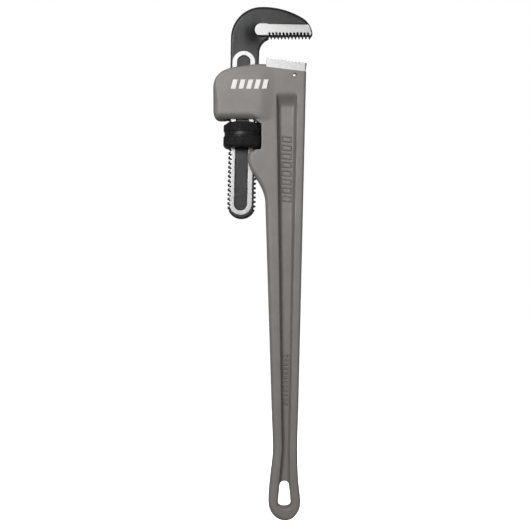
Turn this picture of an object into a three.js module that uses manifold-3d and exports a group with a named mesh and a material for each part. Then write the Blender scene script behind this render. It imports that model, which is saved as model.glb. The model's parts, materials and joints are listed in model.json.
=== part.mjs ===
/**
 * Heavy straight pipe wrench: an aluminium I-beam handle whose cast head carries a toothed
 * heel jaw, and a threaded hook jaw that an adjusting nut raises and lowers.
 *
 * Millimetres. +Z runs up the handle to the jaws, +X towards the outer end of the jaws and
 * -Y out of the front. The origin is the middle of the hand grip, on the casting's mid-plane.
 * Pieces on the hook jaw's own axis are built in the jaw's frame: its origin is the middle of
 * the adjusting nut and its +Z runs up the shank, which leans a little towards the heel jaw.
 */
import * as THREE from 'three';
import { mergeVertices } from 'three/addons/utils/BufferGeometryUtils.js';
import Module from 'manifold-3d';

const wasm = await Module();
wasm.setup();

// ---------------------------------------------------------------- driving dimensions, mm

const GAP = 0.3; // left between pieces that touch
const OVER = 1; // how far a cutting shape reaches past what it cuts
const ROUND_SIDES = 24; // sides of a plain round hole or pin
const TURNED_SIDES = 48; // sides of the nut and of its window

const handle = {
  reach: 514.3, // hand grip to the middle of the nut
  gripWidth: 40,
  gripThickness: 27,
  headThickness: 34,
  gripLength: 100, // stretch above the origin that keeps the grip's thickness
  leftFlare: 0.0309, // how fast the left edge leaves the grip, mm per mm
  rightFlare: 0.0233,
  web: 7, // thickness of the I-beam's web
  leftFlangeGrip: 14.5, // flange widths at the grip and at the pocket's top
  leftFlangeHead: 24,
  rightFlangeGrip: 12,
  rightFlangeHead: 14,
  pocketAboveNut: 70, // top of the I-beam pocket over the nut's middle
  pocketCorner: 8,
  pocketRamp: 19, // length of the sloping run-in at the pocket's top
};

const butt = {
  width: 52.4,
  thickness: 25,
  widestBelow: 86.5, // widest place under the origin
  endRise: 31, // from the widest place to the tip
  offset: -1.25, // the butt and its hole sit a little left of the grip
  rightSwell: [0.83, 0.7], // how far down the right side's curve bends, as shares of widestBelow
  leftSwell: [0.29, 0.64],
  leftEase: 0.5, // the left side starts out this much before it curves
};

const hangHole = {
  topBelow: 54, // under the origin
  bottomBelow: 95.2,
  topWidth: 15.6,
  bottomWidth: 20.4,
  bottomCorner: 8,
};

const thread = {
  crestRadius: 23.5,
  depth: 3.5,
  pitch: 7.5,
  rises: [0.27, 0.47], // stretch of a turn where it climbs from root to crest
  crestEnd: 0.8, // where the crest ends, as a share of a turn
  ease: 0.6, // clearance all round in the nut
  sides: 20,
};

const nut = {
  wall: 9, // from the thread's crest to its outside
  height: 42,
  playAbove: 4.2, // free space over it in the window
  playBelow: 2.3,
  sidePlay: 1.9, // between the nut and the window's hollow wall
  bandDepth: 1.8, // waist between the two knurled bands
  waistFrom: -1.4,
  waistTo: 6,
  waistEdge: 0.8, // height of the slopes between the bands and the waist
  topCone: 6.5, // drawn in by this much at the top
  coneHeight: 0.75, // height of that cone, as a share of topCone
  bottomChamfer: 5,
};

const jaw = {
  lean: THREE.MathUtils.degToRad(1.35), // of the shank towards the heel jaw
  nutClear: 0.9, // between the nut's outside and the line of the handle's left edge
  shankThickness: 20,
  shankBelowNut: 136.5,
  threadAboveNut: 72,
  neckTop: 150, // where the shank thickens into the hook
  hookThickness: 26,
  opening: 35.5, // heel teeth to hook teeth at the throat
  overhang: 10.5, // of the nose past the handle's right edge
  throatRadius: 24,
  cornerRadius: 51,
  cornerDrop: 2.4, // centre of the outer corner under the hook's teeth
  backRadius: 125.4,
  noseRadius: 34,
  noseRise: 2.6, // centre of the nose over the hook's teeth
  noseEnd: THREE.MathUtils.degToRad(5), // where the nose's curve turns into its flat tip
  tipChamfer: 4,
  edge: 2.4, // rounding along the hook's edges
  throatBlend: 4, // how far the shank's flat faces reach into the hook over the throat
  grooveWidth: 22,
  grooveShift: -1.3, // the groove sits a little towards the shank's outer edge
  grooveDepth: 2,
  grooveMargin: 13.3, // from the groove's lower end to the shank's end
  grooveTop: 132,
};

const housing = {
  thickness: 40,
  height: 91.1, // from the nut window to the top of the slot
  leftWall: 20.5,
  leftPlay: 4.5, // slot clearances, which let the hook jaw rock
  rightPlay: 5,
  facePlay: 1,
  edge: 5,
  topCorner: 34,
  bottomCorner: 15,
  topFall: 6, // how much lower the top is at the left corner than at the ridge
  shoulder: [0.44, 0.32], // pull of the top corner's curve, down and across, in shares of topCorner
  shoulderDrop: 3.5,
  ridgeRun: 18, // last stretch of the top, which bends level at the ridge
  ridgeRise: 1,
};

const lug = {
  tipFromAxis: 7.6, // left end of the fork's cheeks, right of the nut's axis
  height: 15, // from the cheek's top to its leftmost place
  length: 89, // from the cheek's top to where it has run out into the handle
  topFall: 2, // of the cheek's top, out to its tip
  bellyOut: 0.9,
  neck: [0.61, 0.45], // right of the tip in heights, and down in lengths
  sweep: [1.29, 0.6],
  runOut: 0.77, // share of its length where it first lies along the handle's edge
};

const heel = {
  thickness: 26,
  ridgeWidth: 7.3, // wall between the shank's slot and the heel jaw
  ridgeStep: 4.6, // the ridge stands this much over the seat
  slope: THREE.MathUtils.degToRad(7.1), // of the seat and the teeth, down to the right
  height: 15,
  overhang: 1.2, // past the handle's right edge
  cornerChamfer: 3,
  tongueThickness: 10,
  tongueLength: 32,
  tongueFromEnd: 4.5,
  tongueDepth: 22,
  endSlant: 2, // how far the right end's foot stands back
};

const heelPin = { radius: 3.3, fromEnd: 19.6, belowSeat: 8.6, inset: 0.4 };

const teeth = {
  pitch: 5.74,
  hookDepth: 3,
  heelDepth: 2.1,
  land: 0.15, // half the flat at a tooth's tip
  steep: 0.92, // share of the pitch over which a tooth's long side slopes
};

const leaf = {
  thickness: 1.2,
  width: 16,
  bottom: 54, // heights over the nut's middle
  bend: 77,
  top: 99,
  recess: 2.6, // depth of its seat in the housing's wall
  lift: 1, // its free end stands this far off the seat's floor
  bow: [0.2, 0.55], // shares of the bent stretch where it lies against the shank
  bendLead: 3,
};

const rivet = {
  radius: 3,
  above: 66,
  headRadius: 4.8,
  headHeight: 1.4,
  footRadius: 5.4,
  footDepth: 2.6,
  footInset: 0.4, // under the housing's outer wall
};

const coil = { outerRadius: 5.2, wire: 0.8, turns: 5, above: 88, holeDepth: 16, play: 0.8 };

// Colour, roughness and metalness.
const looks = {
  castAluminium: [0x8a8682, 0.55, 0.6],
  groundSteel: [0xe4e4e2, 0.35, 0.9],
  pinSteel: [0xd0d0d0, 0.3, 1],
  blackForging: [0x414141, 0.5, 0.7],
  blackNut: [0x2d2d2d, 0.45, 0.7],
  blueSteel: [0x3a3d42, 0.4, 0.9],
  rivetSteel: [0x9a9a98, 0.4, 0.9],
  springWire: [0x8d9094, 0.35, 1],
};

// ------------------------------------------------------------------------ derived places

const nutZ = handle.reach;
const leftEdge = (z) => -handle.gripWidth / 2 - handle.leftFlare * z;
const rightEdge = (z) => handle.gripWidth / 2 + handle.rightFlare * z;
const nutRadius = thread.crestRadius + nut.wall;
const nutX = leftEdge(nutZ) - nutRadius - jaw.nutClear;

const windowTop = nut.height / 2 + nut.playAbove; // over the nut's middle
const windowBottom = nut.height / 2 + nut.playBelow; // under it
const housingTop = windowTop + housing.height;
const slotLeft = -(thread.crestRadius + housing.leftPlay); // in the jaw's frame
const slotRight = thread.crestRadius + housing.rightPlay;
const slotThickness = jaw.shankThickness + 2 * housing.facePlay;

// The heel jaw's left end, seat and teeth, in the casting's frame.
const ridgeLeft = nutX + slotRight + housingTop * Math.tan(jaw.lean);
const heelLeft = ridgeLeft + heel.ridgeWidth;
const seatLeftZ = nutZ + housingTop - heel.ridgeStep;
const seatZ = (x) => seatLeftZ - (x - heelLeft) * Math.tan(heel.slope);
const heelRight = rightEdge(seatZ(rightEdge(seatLeftZ))) + heel.overhang;
const pinX = heelRight - heelPin.fromEnd;
const pinZ = seatZ(pinX) - heelPin.belowSeat;

// The hook's tooth line, in the jaw's frame: level in the casting's frame, so it climbs there.
const teethRise = Math.tan(jaw.lean);
const throatX = thread.crestRadius + jaw.throatRadius;
const toothLine = (x) =>
  seatLeftZ + heel.height + jaw.opening - nutZ + GAP + teethRise * x;
const hookReach = rightEdge(seatLeftZ) + jaw.overhang - nutX - (toothLine(throatX) * jaw.lean);

// ------------------------------------------------------------------------------- helpers

/** A closed three.js geometry as a solid that can be joined and cut. */
function solid(geometry) {
  geometry.deleteAttribute('normal');
  geometry.deleteAttribute('uv');
  const merged = mergeVertices(geometry, 1e-4);
  return new wasm.Manifold(new wasm.Mesh({
    numProp: 3,
    vertProperties: new Float32Array(merged.attributes.position.array),
    triVerts: new Uint32Array(merged.index.array),
  }));
}

/** A finished solid as a mesh with its own name and material. */
function piece(name, body, [color, roughness, metalness]) {
  const data = body.getMesh();
  const geometry = new THREE.BufferGeometry();
  geometry.setAttribute('position', new THREE.BufferAttribute(new Float32Array(data.vertProperties), 3));
  geometry.setIndex(new THREE.BufferAttribute(new Uint32Array(data.triVerts), 1));
  geometry.computeVertexNormals();
  const material = new THREE.MeshStandardMaterial({ color, roughness, metalness });
  const mesh = new THREE.Mesh(geometry, material);
  mesh.name = name;
  return mesh;
}

/** An outline drawn in X and Z, given a thickness across Y and centred on the mid-plane. */
function plate(outline, thickness, edge = 0, curveSegments = 10) {
  const geometry = new THREE.ExtrudeGeometry(outline, {
    depth: thickness - 2 * edge,
    bevelEnabled: edge > 0,
    bevelThickness: edge,
    bevelSize: edge,
    bevelOffset: -edge,
    bevelSegments: 2,
    curveSegments,
  });
  geometry.rotateX(Math.PI / 2);
  geometry.translate(0, thickness / 2 - edge, 0);
  return geometry;
}

/** An outline drawn in Y and Z, as [y, z] points, carried across X from one place to another. */
function bar(points, fromX, toX) {
  const outline = new THREE.Shape(points.map(([y, z]) => new THREE.Vector2(y, z)));
  const geometry = new THREE.ExtrudeGeometry(outline, { depth: toX - fromX, bevelEnabled: false });
  geometry.rotateY(Math.PI / 2);
  geometry.rotateX(Math.PI / 2);
  geometry.translate(fromX, 0, 0);
  return geometry;
}

/** A box from its lowest to its highest corner. */
function block([x0, y0, z0], [x1, y1, z1]) {
  const geometry = new THREE.BoxGeometry(x1 - x0, y1 - y0, z1 - z0);
  return geometry.translate((x0 + x1) / 2, (y0 + y1) / 2, (z0 + z1) / 2);
}

/** A round bar along X, through the point (y, z). */
function roundAlongX(radius, fromX, toX, z) {
  const geometry = new THREE.CylinderGeometry(radius, radius, toX - fromX, ROUND_SIDES);
  return geometry.rotateZ(Math.PI / 2).translate((fromX + toX) / 2, 0, z);
}

/** A round bar along Y, centred on the mid-plane. */
function roundAlongY(radius, length, x, z) {
  return new THREE.CylinderGeometry(radius, radius, length, ROUND_SIDES).translate(x, 0, z);
}

/** Carries a geometry from the jaw's frame into the casting's frame. */
function atJaw(geometry) {
  return geometry.rotateY(jaw.lean).translate(nutX, 0, nutZ);
}

/**
 * A right-hand threaded bar along Z. Its rows of vertices follow the helix, so the last side
 * of a turn meets the first side one pitch higher.
 */
function threadedBar({ crest, root, ease, fromZ, toZ }) {
  const slack = ease / thread.pitch;
  const profile = [
    { share: slack, radius: root },
    { share: thread.rises[0] - slack, radius: root },
    { share: thread.rises[1] - slack, radius: crest },
    { share: thread.crestEnd + slack, radius: crest },
  ];
  const firstTurn = Math.floor(fromZ / thread.pitch) - 1;
  const turns = Math.ceil(toZ / thread.pitch) + 1 - firstTurn;
  const rows = turns * profile.length;
  const positions = [];
  const addVertex = (side, row) => {
    const { share, radius } = profile[row % profile.length];
    const turn = firstTurn + Math.floor(row / profile.length) + share + side / thread.sides;
    const angle = (2 * Math.PI * side) / thread.sides;
    positions.push(radius * Math.cos(angle), radius * Math.sin(angle), turn * thread.pitch);
  };
  const starts = [];
  for (let side = 0; side < thread.sides; side += 1) {
    starts.push(positions.length / 3);
    const last = side === 0 ? rows + profile.length : rows;
    for (let row = 0; row <= last; row += 1) addVertex(side, row);
  }
  const vertex = (side, row) => (
    side === thread.sides ? starts[0] + row + profile.length : starts[side] + row);
  const bottom = positions.length / 3;
  positions.push(0, 0, (firstTurn + 0.5) * thread.pitch);
  const top = bottom + 1;
  positions.push(0, 0, (firstTurn + turns + 0.5) * thread.pitch);
  const index = [];
  for (let side = 0; side < thread.sides; side += 1) {
    for (let row = 0; row < rows; row += 1) {
      index.push(vertex(side, row), vertex(side + 1, row), vertex(side + 1, row + 1));
      index.push(vertex(side, row), vertex(side + 1, row + 1), vertex(side, row + 1));
    }
    index.push(vertex(side + 1, 0), vertex(side, 0), bottom);
    index.push(vertex(side, rows), vertex(side + 1, rows), top);
  }
  for (let row = 0; row < profile.length; row += 1) {
    index.push(vertex(0, row), vertex(0, row + 1), bottom);
    index.push(vertex(0, rows + row + 1), vertex(0, rows + row), top);
  }
  const geometry = new THREE.BufferGeometry();
  geometry.setAttribute('position', new THREE.Float32BufferAttribute(positions, 3));
  geometry.setIndex(index);
  return geometry;
}

/** Saw-tooth notches along a line, ready to cut; they lean over towards `lean` (1 or -1). */
function toothNotches({ x, z, slope, count, depth, width, lean, side }) {
  const notches = [];
  const deepest = teeth.pitch * (lean > 0 ? teeth.steep : 1 - teeth.steep);
  for (let tooth = 0; tooth < count; tooth += 1) {
    const left = tooth * teeth.pitch;
    const right = left + teeth.pitch;
    const notch = new THREE.Shape([
      new THREE.Vector2(left + teeth.land, -side * OVER),
      new THREE.Vector2(right - teeth.land, -side * OVER),
      new THREE.Vector2(right - teeth.land, 0),
      new THREE.Vector2(left + deepest, side * depth),
      new THREE.Vector2(left + teeth.land, 0),
    ]);
    notches.push(plate(notch, width).rotateY(-slope).translate(x, 0, z));
  }
  return notches;
}

// -------------------------------------------------------------------------------- handle

/** Outside of the casting seen from the front, without the housing round the shank. */
function castingOutline() {
  const outline = new THREE.Shape();
  const buttZ = -butt.widestBelow;
  const buttHalf = butt.width / 2;
  const gripHalf = handle.gripWidth / 2;
  const rightTop = rightEdge(seatLeftZ);
  const lugTop = nutZ - windowBottom;
  const lugTip = nutX + lug.tipFromAxis;
  const lugFoot = lugTop - lug.length;
  outline.moveTo(butt.offset, buttZ - butt.endRise);
  outline.absellipse(butt.offset, buttZ, buttHalf, butt.endRise, -Math.PI / 2, 0, false);
  outline.bezierCurveTo(
    butt.offset + buttHalf, buttZ * butt.rightSwell[0],
    gripHalf, buttZ * butt.rightSwell[1], gripHalf, 0);
  outline.lineTo(rightTop, seatZ(rightTop));
  outline.lineTo(heelLeft - GAP, seatZ(heelLeft - GAP));
  outline.lineTo(heelLeft - GAP, nutZ + housingTop);
  outline.lineTo(ridgeLeft, nutZ + housingTop);
  outline.lineTo(nutX, nutZ + housingTop - housing.topCorner);
  outline.lineTo(nutX, nutZ);
  outline.lineTo(nutX + nutRadius / 2, nutZ);
  outline.lineTo(nutX + nutRadius / 2, lugTop);
  outline.quadraticCurveTo(lugTip, lugTop - lug.topFall, lugTip, lugTop - lug.height);
  outline.quadraticCurveTo(
    lugTip + lug.bellyOut, lugTop - lug.height * 2,
    lugTip + lug.height * lug.neck[0], lugTop - lug.length * lug.neck[1]);
  outline.bezierCurveTo(
    lugTip + lug.height * lug.sweep[0], lugTop - lug.length * lug.sweep[1],
    leftEdge(lugFoot), lugTop - lug.length * lug.runOut, leftEdge(lugFoot), lugFoot);
  outline.lineTo(-gripHalf, 0);
  outline.bezierCurveTo(
    -gripHalf - butt.leftEase, buttZ * butt.leftSwell[0],
    butt.offset - buttHalf, buttZ * butt.leftSwell[1], butt.offset - buttHalf, buttZ);
  outline.absellipse(butt.offset, buttZ, buttHalf, butt.endRise, Math.PI, 1.5 * Math.PI, false);
  return outline;
}

/** The casting's thickness from the butt up to the head, seen from the side. */
function castingThickness() {
  const right = [
    [butt.thickness / 2, -butt.widestBelow - butt.endRise - OVER],
    [butt.thickness / 2, -butt.widestBelow],
    [handle.gripThickness / 2, 0],
    [handle.gripThickness / 2, handle.gripLength],
    [handle.headThickness / 2, nutZ - windowBottom - lug.length / 2],
    [handle.headThickness / 2, nutZ + housingTop + OVER],
  ];
  const left = right.map(([y, z]) => [-y, z]).reverse();
  const widest = handle.gripWidth + nutRadius - nutX;
  return bar([...right, ...left], -widest, widest);
}

/** The housing round the hook jaw's shank, seen from the front. */
function housingOutline() {
  const outline = new THREE.Shape();
  const left = nutX + slotLeft - housing.leftWall;
  const bottom = nutZ + windowTop;
  const top = nutZ + housingTop;
  const topLeft = top - housing.topFall;
  outline.moveTo(heelLeft - GAP, bottom);
  outline.lineTo(left + housing.bottomCorner, bottom);
  outline.quadraticCurveTo(left, bottom, left, bottom + housing.bottomCorner);
  outline.lineTo(left, topLeft - housing.topCorner);
  outline.bezierCurveTo(
    left, topLeft - housing.topCorner * housing.shoulder[0],
    left + housing.topCorner * housing.shoulder[1], topLeft - housing.shoulderDrop,
    left + housing.topCorner, topLeft + housing.ridgeRise);
  outline.lineTo(ridgeLeft - housing.ridgeRun, top - housing.ridgeRise);
  outline.quadraticCurveTo(ridgeLeft - housing.ridgeRun / 2, top, ridgeLeft, top);
  outline.lineTo(heelLeft - GAP, top);
  return outline;
}

/** The I-beam pocket and, at its lower end, the hole to hang the wrench by. */
function pocketOutline() {
  const outline = new THREE.Shape();
  const top = nutZ + handle.pocketAboveNut;
  const corner = handle.pocketCorner;
  const left = leftEdge(top) + handle.leftFlangeHead;
  const right = rightEdge(top) - handle.rightFlangeHead;
  const middle = butt.offset;
  const neck = -hangHole.topBelow;
  const low = -hangHole.bottomBelow;
  const holeHalf = hangHole.bottomWidth / 2;
  outline.moveTo(left, top - corner);
  outline.quadraticCurveTo(left, top, left + corner, top);
  outline.lineTo(right - corner, top);
  outline.quadraticCurveTo(right, top, right, top - corner);
  outline.lineTo(rightEdge(0) - handle.rightFlangeGrip, 0);
  outline.lineTo(middle + hangHole.topWidth / 2, neck);
  outline.lineTo(middle + holeHalf, low + hangHole.bottomCorner);
  outline.quadraticCurveTo(middle + holeHalf, low, middle, low);
  outline.quadraticCurveTo(middle - holeHalf, low, middle - holeHalf, low + hangHole.bottomCorner);
  outline.lineTo(middle - hangHole.topWidth / 2, neck);
  outline.lineTo(-handle.gripWidth / 2 + handle.leftFlangeGrip, 0);
  return outline;
}

/** What the pocket takes out of both faces: everything but the web and the ramp at its top. */
function pocketCut() {
  const top = nutZ + handle.pocketAboveNut;
  const half = handle.headThickness / 2;
  const webHalf = handle.web / 2;
  const widest = handle.gripWidth * 2;
  let cut = solid(plate(pocketOutline(), housing.thickness * 2));
  const web = block([-widest, -webHalf, -hangHole.topBelow], [widest, webHalf, top + OVER]);
  cut = cut.subtract(solid(web));
  for (const side of [-1, 1]) {
    const ramp = [
      [side * (webHalf - OVER), top - handle.pocketRamp],
      [side * webHalf, top - handle.pocketRamp],
      [side * half, top - OVER],
      [side * housing.thickness, top - OVER],
      [side * housing.thickness, top + OVER],
      [side * (webHalf - OVER), top + OVER],
    ];
    cut = cut.subtract(solid(bar(side > 0 ? ramp : ramp.reverse(), -widest, widest)));
  }
  return cut;
}

/** The slot for the hook jaw's shank, with the seats of its two springs and their rivet. */
function shankCuts() {
  const half = slotThickness / 2;
  const low = -jaw.shankBelowNut;
  const outside = slotLeft - housing.leftWall;
  const recess = slotLeft - leaf.recess;
  const leafHalf = leaf.width / 2 + 2 * GAP;
  const clear = outside - housing.leftWall;
  return [
    block([slotLeft, -half, low], [slotRight, half, housingTop + housing.edge]),
    block([recess, -leafHalf, leaf.bottom - leaf.lift], [slotLeft + OVER, leafHalf, leaf.top + leaf.lift]),
    roundAlongX(rivet.radius + GAP, clear, slotLeft, rivet.above),
    roundAlongX(rivet.footRadius + GAP, clear, outside + rivet.footDepth + GAP, rivet.above),
    roundAlongX(coil.outerRadius + coil.play, slotRight - OVER, slotRight + coil.holeDepth, coil.above),
  ].map((cut) => solid(atJaw(cut)));
}

/** The cast handle with its head, housing, forked lug, pocket and hanging hole. */
function buildHandle() {
  let body = solid(plate(castingOutline(), housing.thickness * 2));
  body = body.intersect(solid(castingThickness()));
  body = body.add(solid(plate(housingOutline(), housing.thickness, housing.edge)));
  body = body.subtract(pocketCut());
  for (const cut of shankCuts()) body = body.subtract(cut);
  const windowRadius = nutRadius + nut.sidePlay;
  const window = new THREE.CylinderGeometry(
    windowRadius, windowRadius, windowTop + windowBottom, TURNED_SIDES);
  window.rotateX(Math.PI / 2).translate(nutX, 0, nutZ + (windowTop - windowBottom) / 2);
  body = body.subtract(solid(window));
  const tongueRight = heelRight - heel.tongueFromEnd;
  const tongueSlot = block(
    [tongueRight - heel.tongueLength - GAP, -heel.tongueThickness / 2 - GAP,
      seatZ(pinX) - heel.tongueDepth - GAP],
    [tongueRight + GAP, heel.tongueThickness / 2 + GAP, seatLeftZ + heel.height]);
  body = body.subtract(solid(tongueSlot));
  body = body.subtract(solid(roundAlongY(heelPin.radius + GAP, housing.thickness * 2, pinX, pinZ)));
  return piece('handle', body, looks.castAluminium);
}

// ------------------------------------------------------------------- heel jaw and its pin

/** The replaceable lower jaw: a toothed block on a tongue that drops into the head. */
function buildHeelJaw() {
  const left = heelLeft;
  const right = heelRight;
  const seat = (x) => seatZ(x) + GAP;
  const outline = new THREE.Shape([
    new THREE.Vector2(left, seat(left)),
    new THREE.Vector2(right - heel.endSlant, seat(right - heel.endSlant)),
    new THREE.Vector2(right, seat(right) + heel.height),
    new THREE.Vector2(left, seat(left) + heel.height),
  ]);
  let body = solid(plate(outline, heel.thickness));
  const length = (right - left) / Math.cos(heel.slope);
  const notches = toothNotches({
    x: left,
    z: seat(left) + heel.height,
    slope: -heel.slope,
    count: Math.floor(length / teeth.pitch),
    depth: teeth.heelDepth,
    width: heel.thickness + 2 * OVER,
    lean: 1,
    side: -1,
  });
  for (const notch of notches) body = body.subtract(solid(notch));
  for (const side of [-1, 1]) {
    const wide = heel.cornerChamfer * 2;
    const corner = new THREE.BoxGeometry(wide, wide, heel.height * 3);
    const diagonal = heel.cornerChamfer * (Math.SQRT2 - 1);
    corner.rotateZ(Math.PI / 4);
    corner.translate(
      right + diagonal, side * (heel.thickness / 2 + diagonal), seat(right) + heel.height / 2);
    body = body.subtract(solid(corner));
  }
  const tongueRight = right - heel.tongueFromEnd;
  const tongue = block(
    [tongueRight - heel.tongueLength, -heel.tongueThickness / 2, seatZ(pinX) - heel.tongueDepth],
    [tongueRight, heel.tongueThickness / 2, seat(right) + heel.height / 2]);
  body = body.add(solid(tongue));
  body = body.subtract(solid(roundAlongY(heelPin.radius + GAP, heel.thickness * 2, pinX, pinZ)));
  return piece('heel_jaw', body, looks.groundSteel);
}

/** The cross pin that holds the heel jaw's tongue in the head. */
function buildHeelPin() {
  const length = handle.headThickness - 2 * heelPin.inset;
  const body = solid(roundAlongY(heelPin.radius, length, pinX, pinZ));
  return piece('heel_jaw_pin', body, looks.pinSteel);
}

// ------------------------------------------------------------------------------ hook jaw

/** Where two circles about `a` and `b` cross, on the side that lies lower. */
function lowerCrossing(a, radiusA, b, radiusB) {
  const along = new THREE.Vector2().subVectors(b, a);
  const distance = along.length();
  const run = (distance ** 2 + radiusA ** 2 - radiusB ** 2) / (2 * distance);
  const drop = Math.sqrt(radiusA ** 2 - run ** 2);
  along.normalize();
  return new THREE.Vector2(a.x + along.x * run + along.y * drop, a.y + along.y * run - along.x * drop);
}

/** The hook seen from the front, its teeth not yet cut, in the jaw's frame. */
function hookOutline() {
  const half = thread.crestRadius;
  const line = toothLine(throatX);
  const corner = new THREE.Vector2(jaw.cornerRadius - half, line - jaw.cornerDrop);
  const nose = new THREE.Vector2(hookReach - jaw.noseRadius, line + jaw.noseRise);
  const back = lowerCrossing(
    corner, jaw.backRadius - jaw.cornerRadius, nose, jaw.backRadius - jaw.noseRadius);
  const cornerEnd = Math.atan2(corner.y - back.y, corner.x - back.x);
  const noseStart = Math.atan2(nose.y - back.y, nose.x - back.x);
  const tipX = hookReach - jaw.tipChamfer;
  const outline = new THREE.Shape();
  outline.moveTo(-half, jaw.neckTop);
  outline.lineTo(-half, corner.y);
  outline.absarc(corner.x, corner.y, jaw.cornerRadius, Math.PI, cornerEnd, true);
  outline.absarc(back.x, back.y, jaw.backRadius, cornerEnd, noseStart, true);
  outline.absarc(nose.x, nose.y, jaw.noseRadius, noseStart, jaw.noseEnd, true);
  outline.lineTo(tipX, toothLine(tipX));
  outline.lineTo(throatX, line);
  const throatZ = line - jaw.throatRadius;
  const neckAngle = Math.asin(Math.max(-1, (jaw.neckTop - throatZ) / jaw.throatRadius));
  outline.absarc(throatX, throatZ, jaw.throatRadius, Math.PI / 2, Math.PI - neckAngle, false);
  return outline;
}

/** The shank and the throat's root seen from the front, round at the lower end. */
function shankOutline() {
  const half = thread.crestRadius;
  const line = toothLine(throatX);
  const outline = new THREE.Shape();
  outline.moveTo(-half, line);
  outline.lineTo(-half, half - jaw.shankBelowNut);
  outline.absarc(0, half - jaw.shankBelowNut, half, Math.PI, 2 * Math.PI, false);
  outline.lineTo(half, line - jaw.throatRadius);
  outline.absarc(throatX, line - jaw.throatRadius, jaw.throatRadius, Math.PI, Math.PI * 0.75, true);
  outline.lineTo(half + jaw.throatBlend, line);
  return outline;
}

/** The long recess down each flat face of the shank, round at both ends. */
function grooveOutline() {
  const half = jaw.grooveWidth / 2;
  const bottom = -jaw.shankBelowNut + jaw.grooveMargin + half;
  const top = jaw.grooveTop - half;
  const outline = new THREE.Shape();
  outline.absarc(jaw.grooveShift, top, half, 0, Math.PI, false);
  outline.absarc(jaw.grooveShift, bottom, half, Math.PI, 2 * Math.PI, false);
  return outline;
}

/** The forged hook jaw: toothed hook, flat-sided shank and the thread on its round sides. */
function buildHookJaw() {
  const line = toothLine(throatX);
  const crest = thread.crestRadius;
  const end = jaw.shankBelowNut;
  const threaded = solid(threadedBar({
    crest, root: crest - thread.depth, ease: 0, fromZ: -end, toZ: jaw.threadAboveNut,
  }));
  const wide = crest * 2;
  const top = line + jaw.hookThickness / 2;
  const threadStretch = block([-wide, -wide, -end - OVER], [wide, wide, jaw.threadAboveNut]);
  const smooth = new THREE.CylinderGeometry(crest, crest, top - jaw.threadAboveNut, thread.sides);
  smooth.rotateX(Math.PI / 2).translate(0, 0, (top + jaw.threadAboveNut) / 2);
  const throatRoot = block([0, -crest, jaw.neckTop - jaw.throatRadius / 2], [wide, crest, line + OVER]);
  let body = threaded.intersect(solid(threadStretch));
  body = body.add(solid(smooth)).add(solid(throatRoot));
  body = body.intersect(solid(plate(shankOutline(), jaw.shankThickness)));
  body = body.add(solid(plate(hookOutline(), jaw.hookThickness, jaw.edge)));
  const run = hookReach - jaw.tipChamfer - throatX + teeth.pitch * 2;
  const count = Math.floor(run / teeth.pitch);
  const startX = hookReach - jaw.tipChamfer - count * teeth.pitch;
  const notches = toothNotches({
    x: startX,
    z: toothLine(startX),
    slope: jaw.lean,
    count,
    depth: teeth.hookDepth,
    width: jaw.hookThickness + 2 * OVER,
    lean: -1,
    side: 1,
  });
  for (const notch of notches) body = body.subtract(solid(notch));
  const faceToFace = jaw.shankThickness - 2 * jaw.grooveDepth;
  const core = solid(block([-crest, -faceToFace / 2, -end], [crest, faceToFace / 2, line]));
  body = body.subtract(solid(plate(grooveOutline(), jaw.shankThickness + 2 * OVER)).subtract(core));
  return piece('hook_jaw', body, looks.blackForging);
}

// ------------------------------------------------------------------------- adjusting nut

/** The knurled nut, threaded to run on the hook jaw's shank. */
function buildNut() {
  const half = nut.height / 2;
  const waist = nutRadius - nut.bandDepth;
  const profile = [
    [0, -half], [nutRadius - nut.bottomChamfer, -half], [nutRadius, -half + nut.bottomChamfer],
    [nutRadius, nut.waistFrom], [waist, nut.waistFrom + nut.waistEdge],
    [waist, nut.waistTo - nut.waistEdge], [nutRadius, nut.waistTo],
    [nutRadius, half - nut.topCone * nut.coneHeight], [nutRadius - nut.topCone, half], [0, half],
  ].map(([radius, z]) => new THREE.Vector2(radius, z));
  const blank = new THREE.LatheGeometry(profile, TURNED_SIDES).rotateX(Math.PI / 2);
  const bore = threadedBar({
    crest: thread.crestRadius + thread.ease,
    root: thread.crestRadius - thread.depth + thread.ease,
    ease: thread.ease,
    fromZ: -half,
    toZ: half,
  });
  return piece('adjusting_nut', solid(blank).subtract(solid(bore)), looks.blackNut);
}

// ------------------------------------------------------------------- springs and their rivet

/** The leaf spring in the housing's wall, which presses on the shank. */
function buildFlatSpring() {
  const wallX = slotLeft - leaf.recess + GAP;
  const touchX = -thread.crestRadius - GAP - leaf.thickness;
  const rise = leaf.top - leaf.bend;
  const restX = slotLeft - leaf.recess + leaf.lift;
  const strip = (shift) => [
    [wallX + shift, leaf.bottom], [wallX + shift, leaf.bend - leaf.bendLead],
    [wallX + shift, leaf.bend], [touchX + shift, leaf.bend + rise * leaf.bow[0]],
    [touchX + shift, leaf.bend + rise * leaf.bow[1]], [restX + shift, leaf.top],
  ];
  const outer = strip(0);
  const inner = strip(leaf.thickness);
  const outline = new THREE.Shape();
  outline.moveTo(...outer[0]);
  outline.lineTo(...outer[1]);
  outline.bezierCurveTo(...outer[2], ...outer[3], ...outer[4]);
  outline.lineTo(...outer[5]);
  outline.lineTo(...inner[5]);
  outline.lineTo(...inner[4]);
  outline.bezierCurveTo(...inner[3], ...inner[2], ...inner[1]);
  outline.lineTo(...inner[0]);
  let body = solid(plate(outline, leaf.width));
  body = body.subtract(solid(roundAlongX(rivet.radius + GAP, wallX - OVER, touchX, rivet.above)));
  return piece('flat_spring', body, looks.blueSteel);
}

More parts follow.
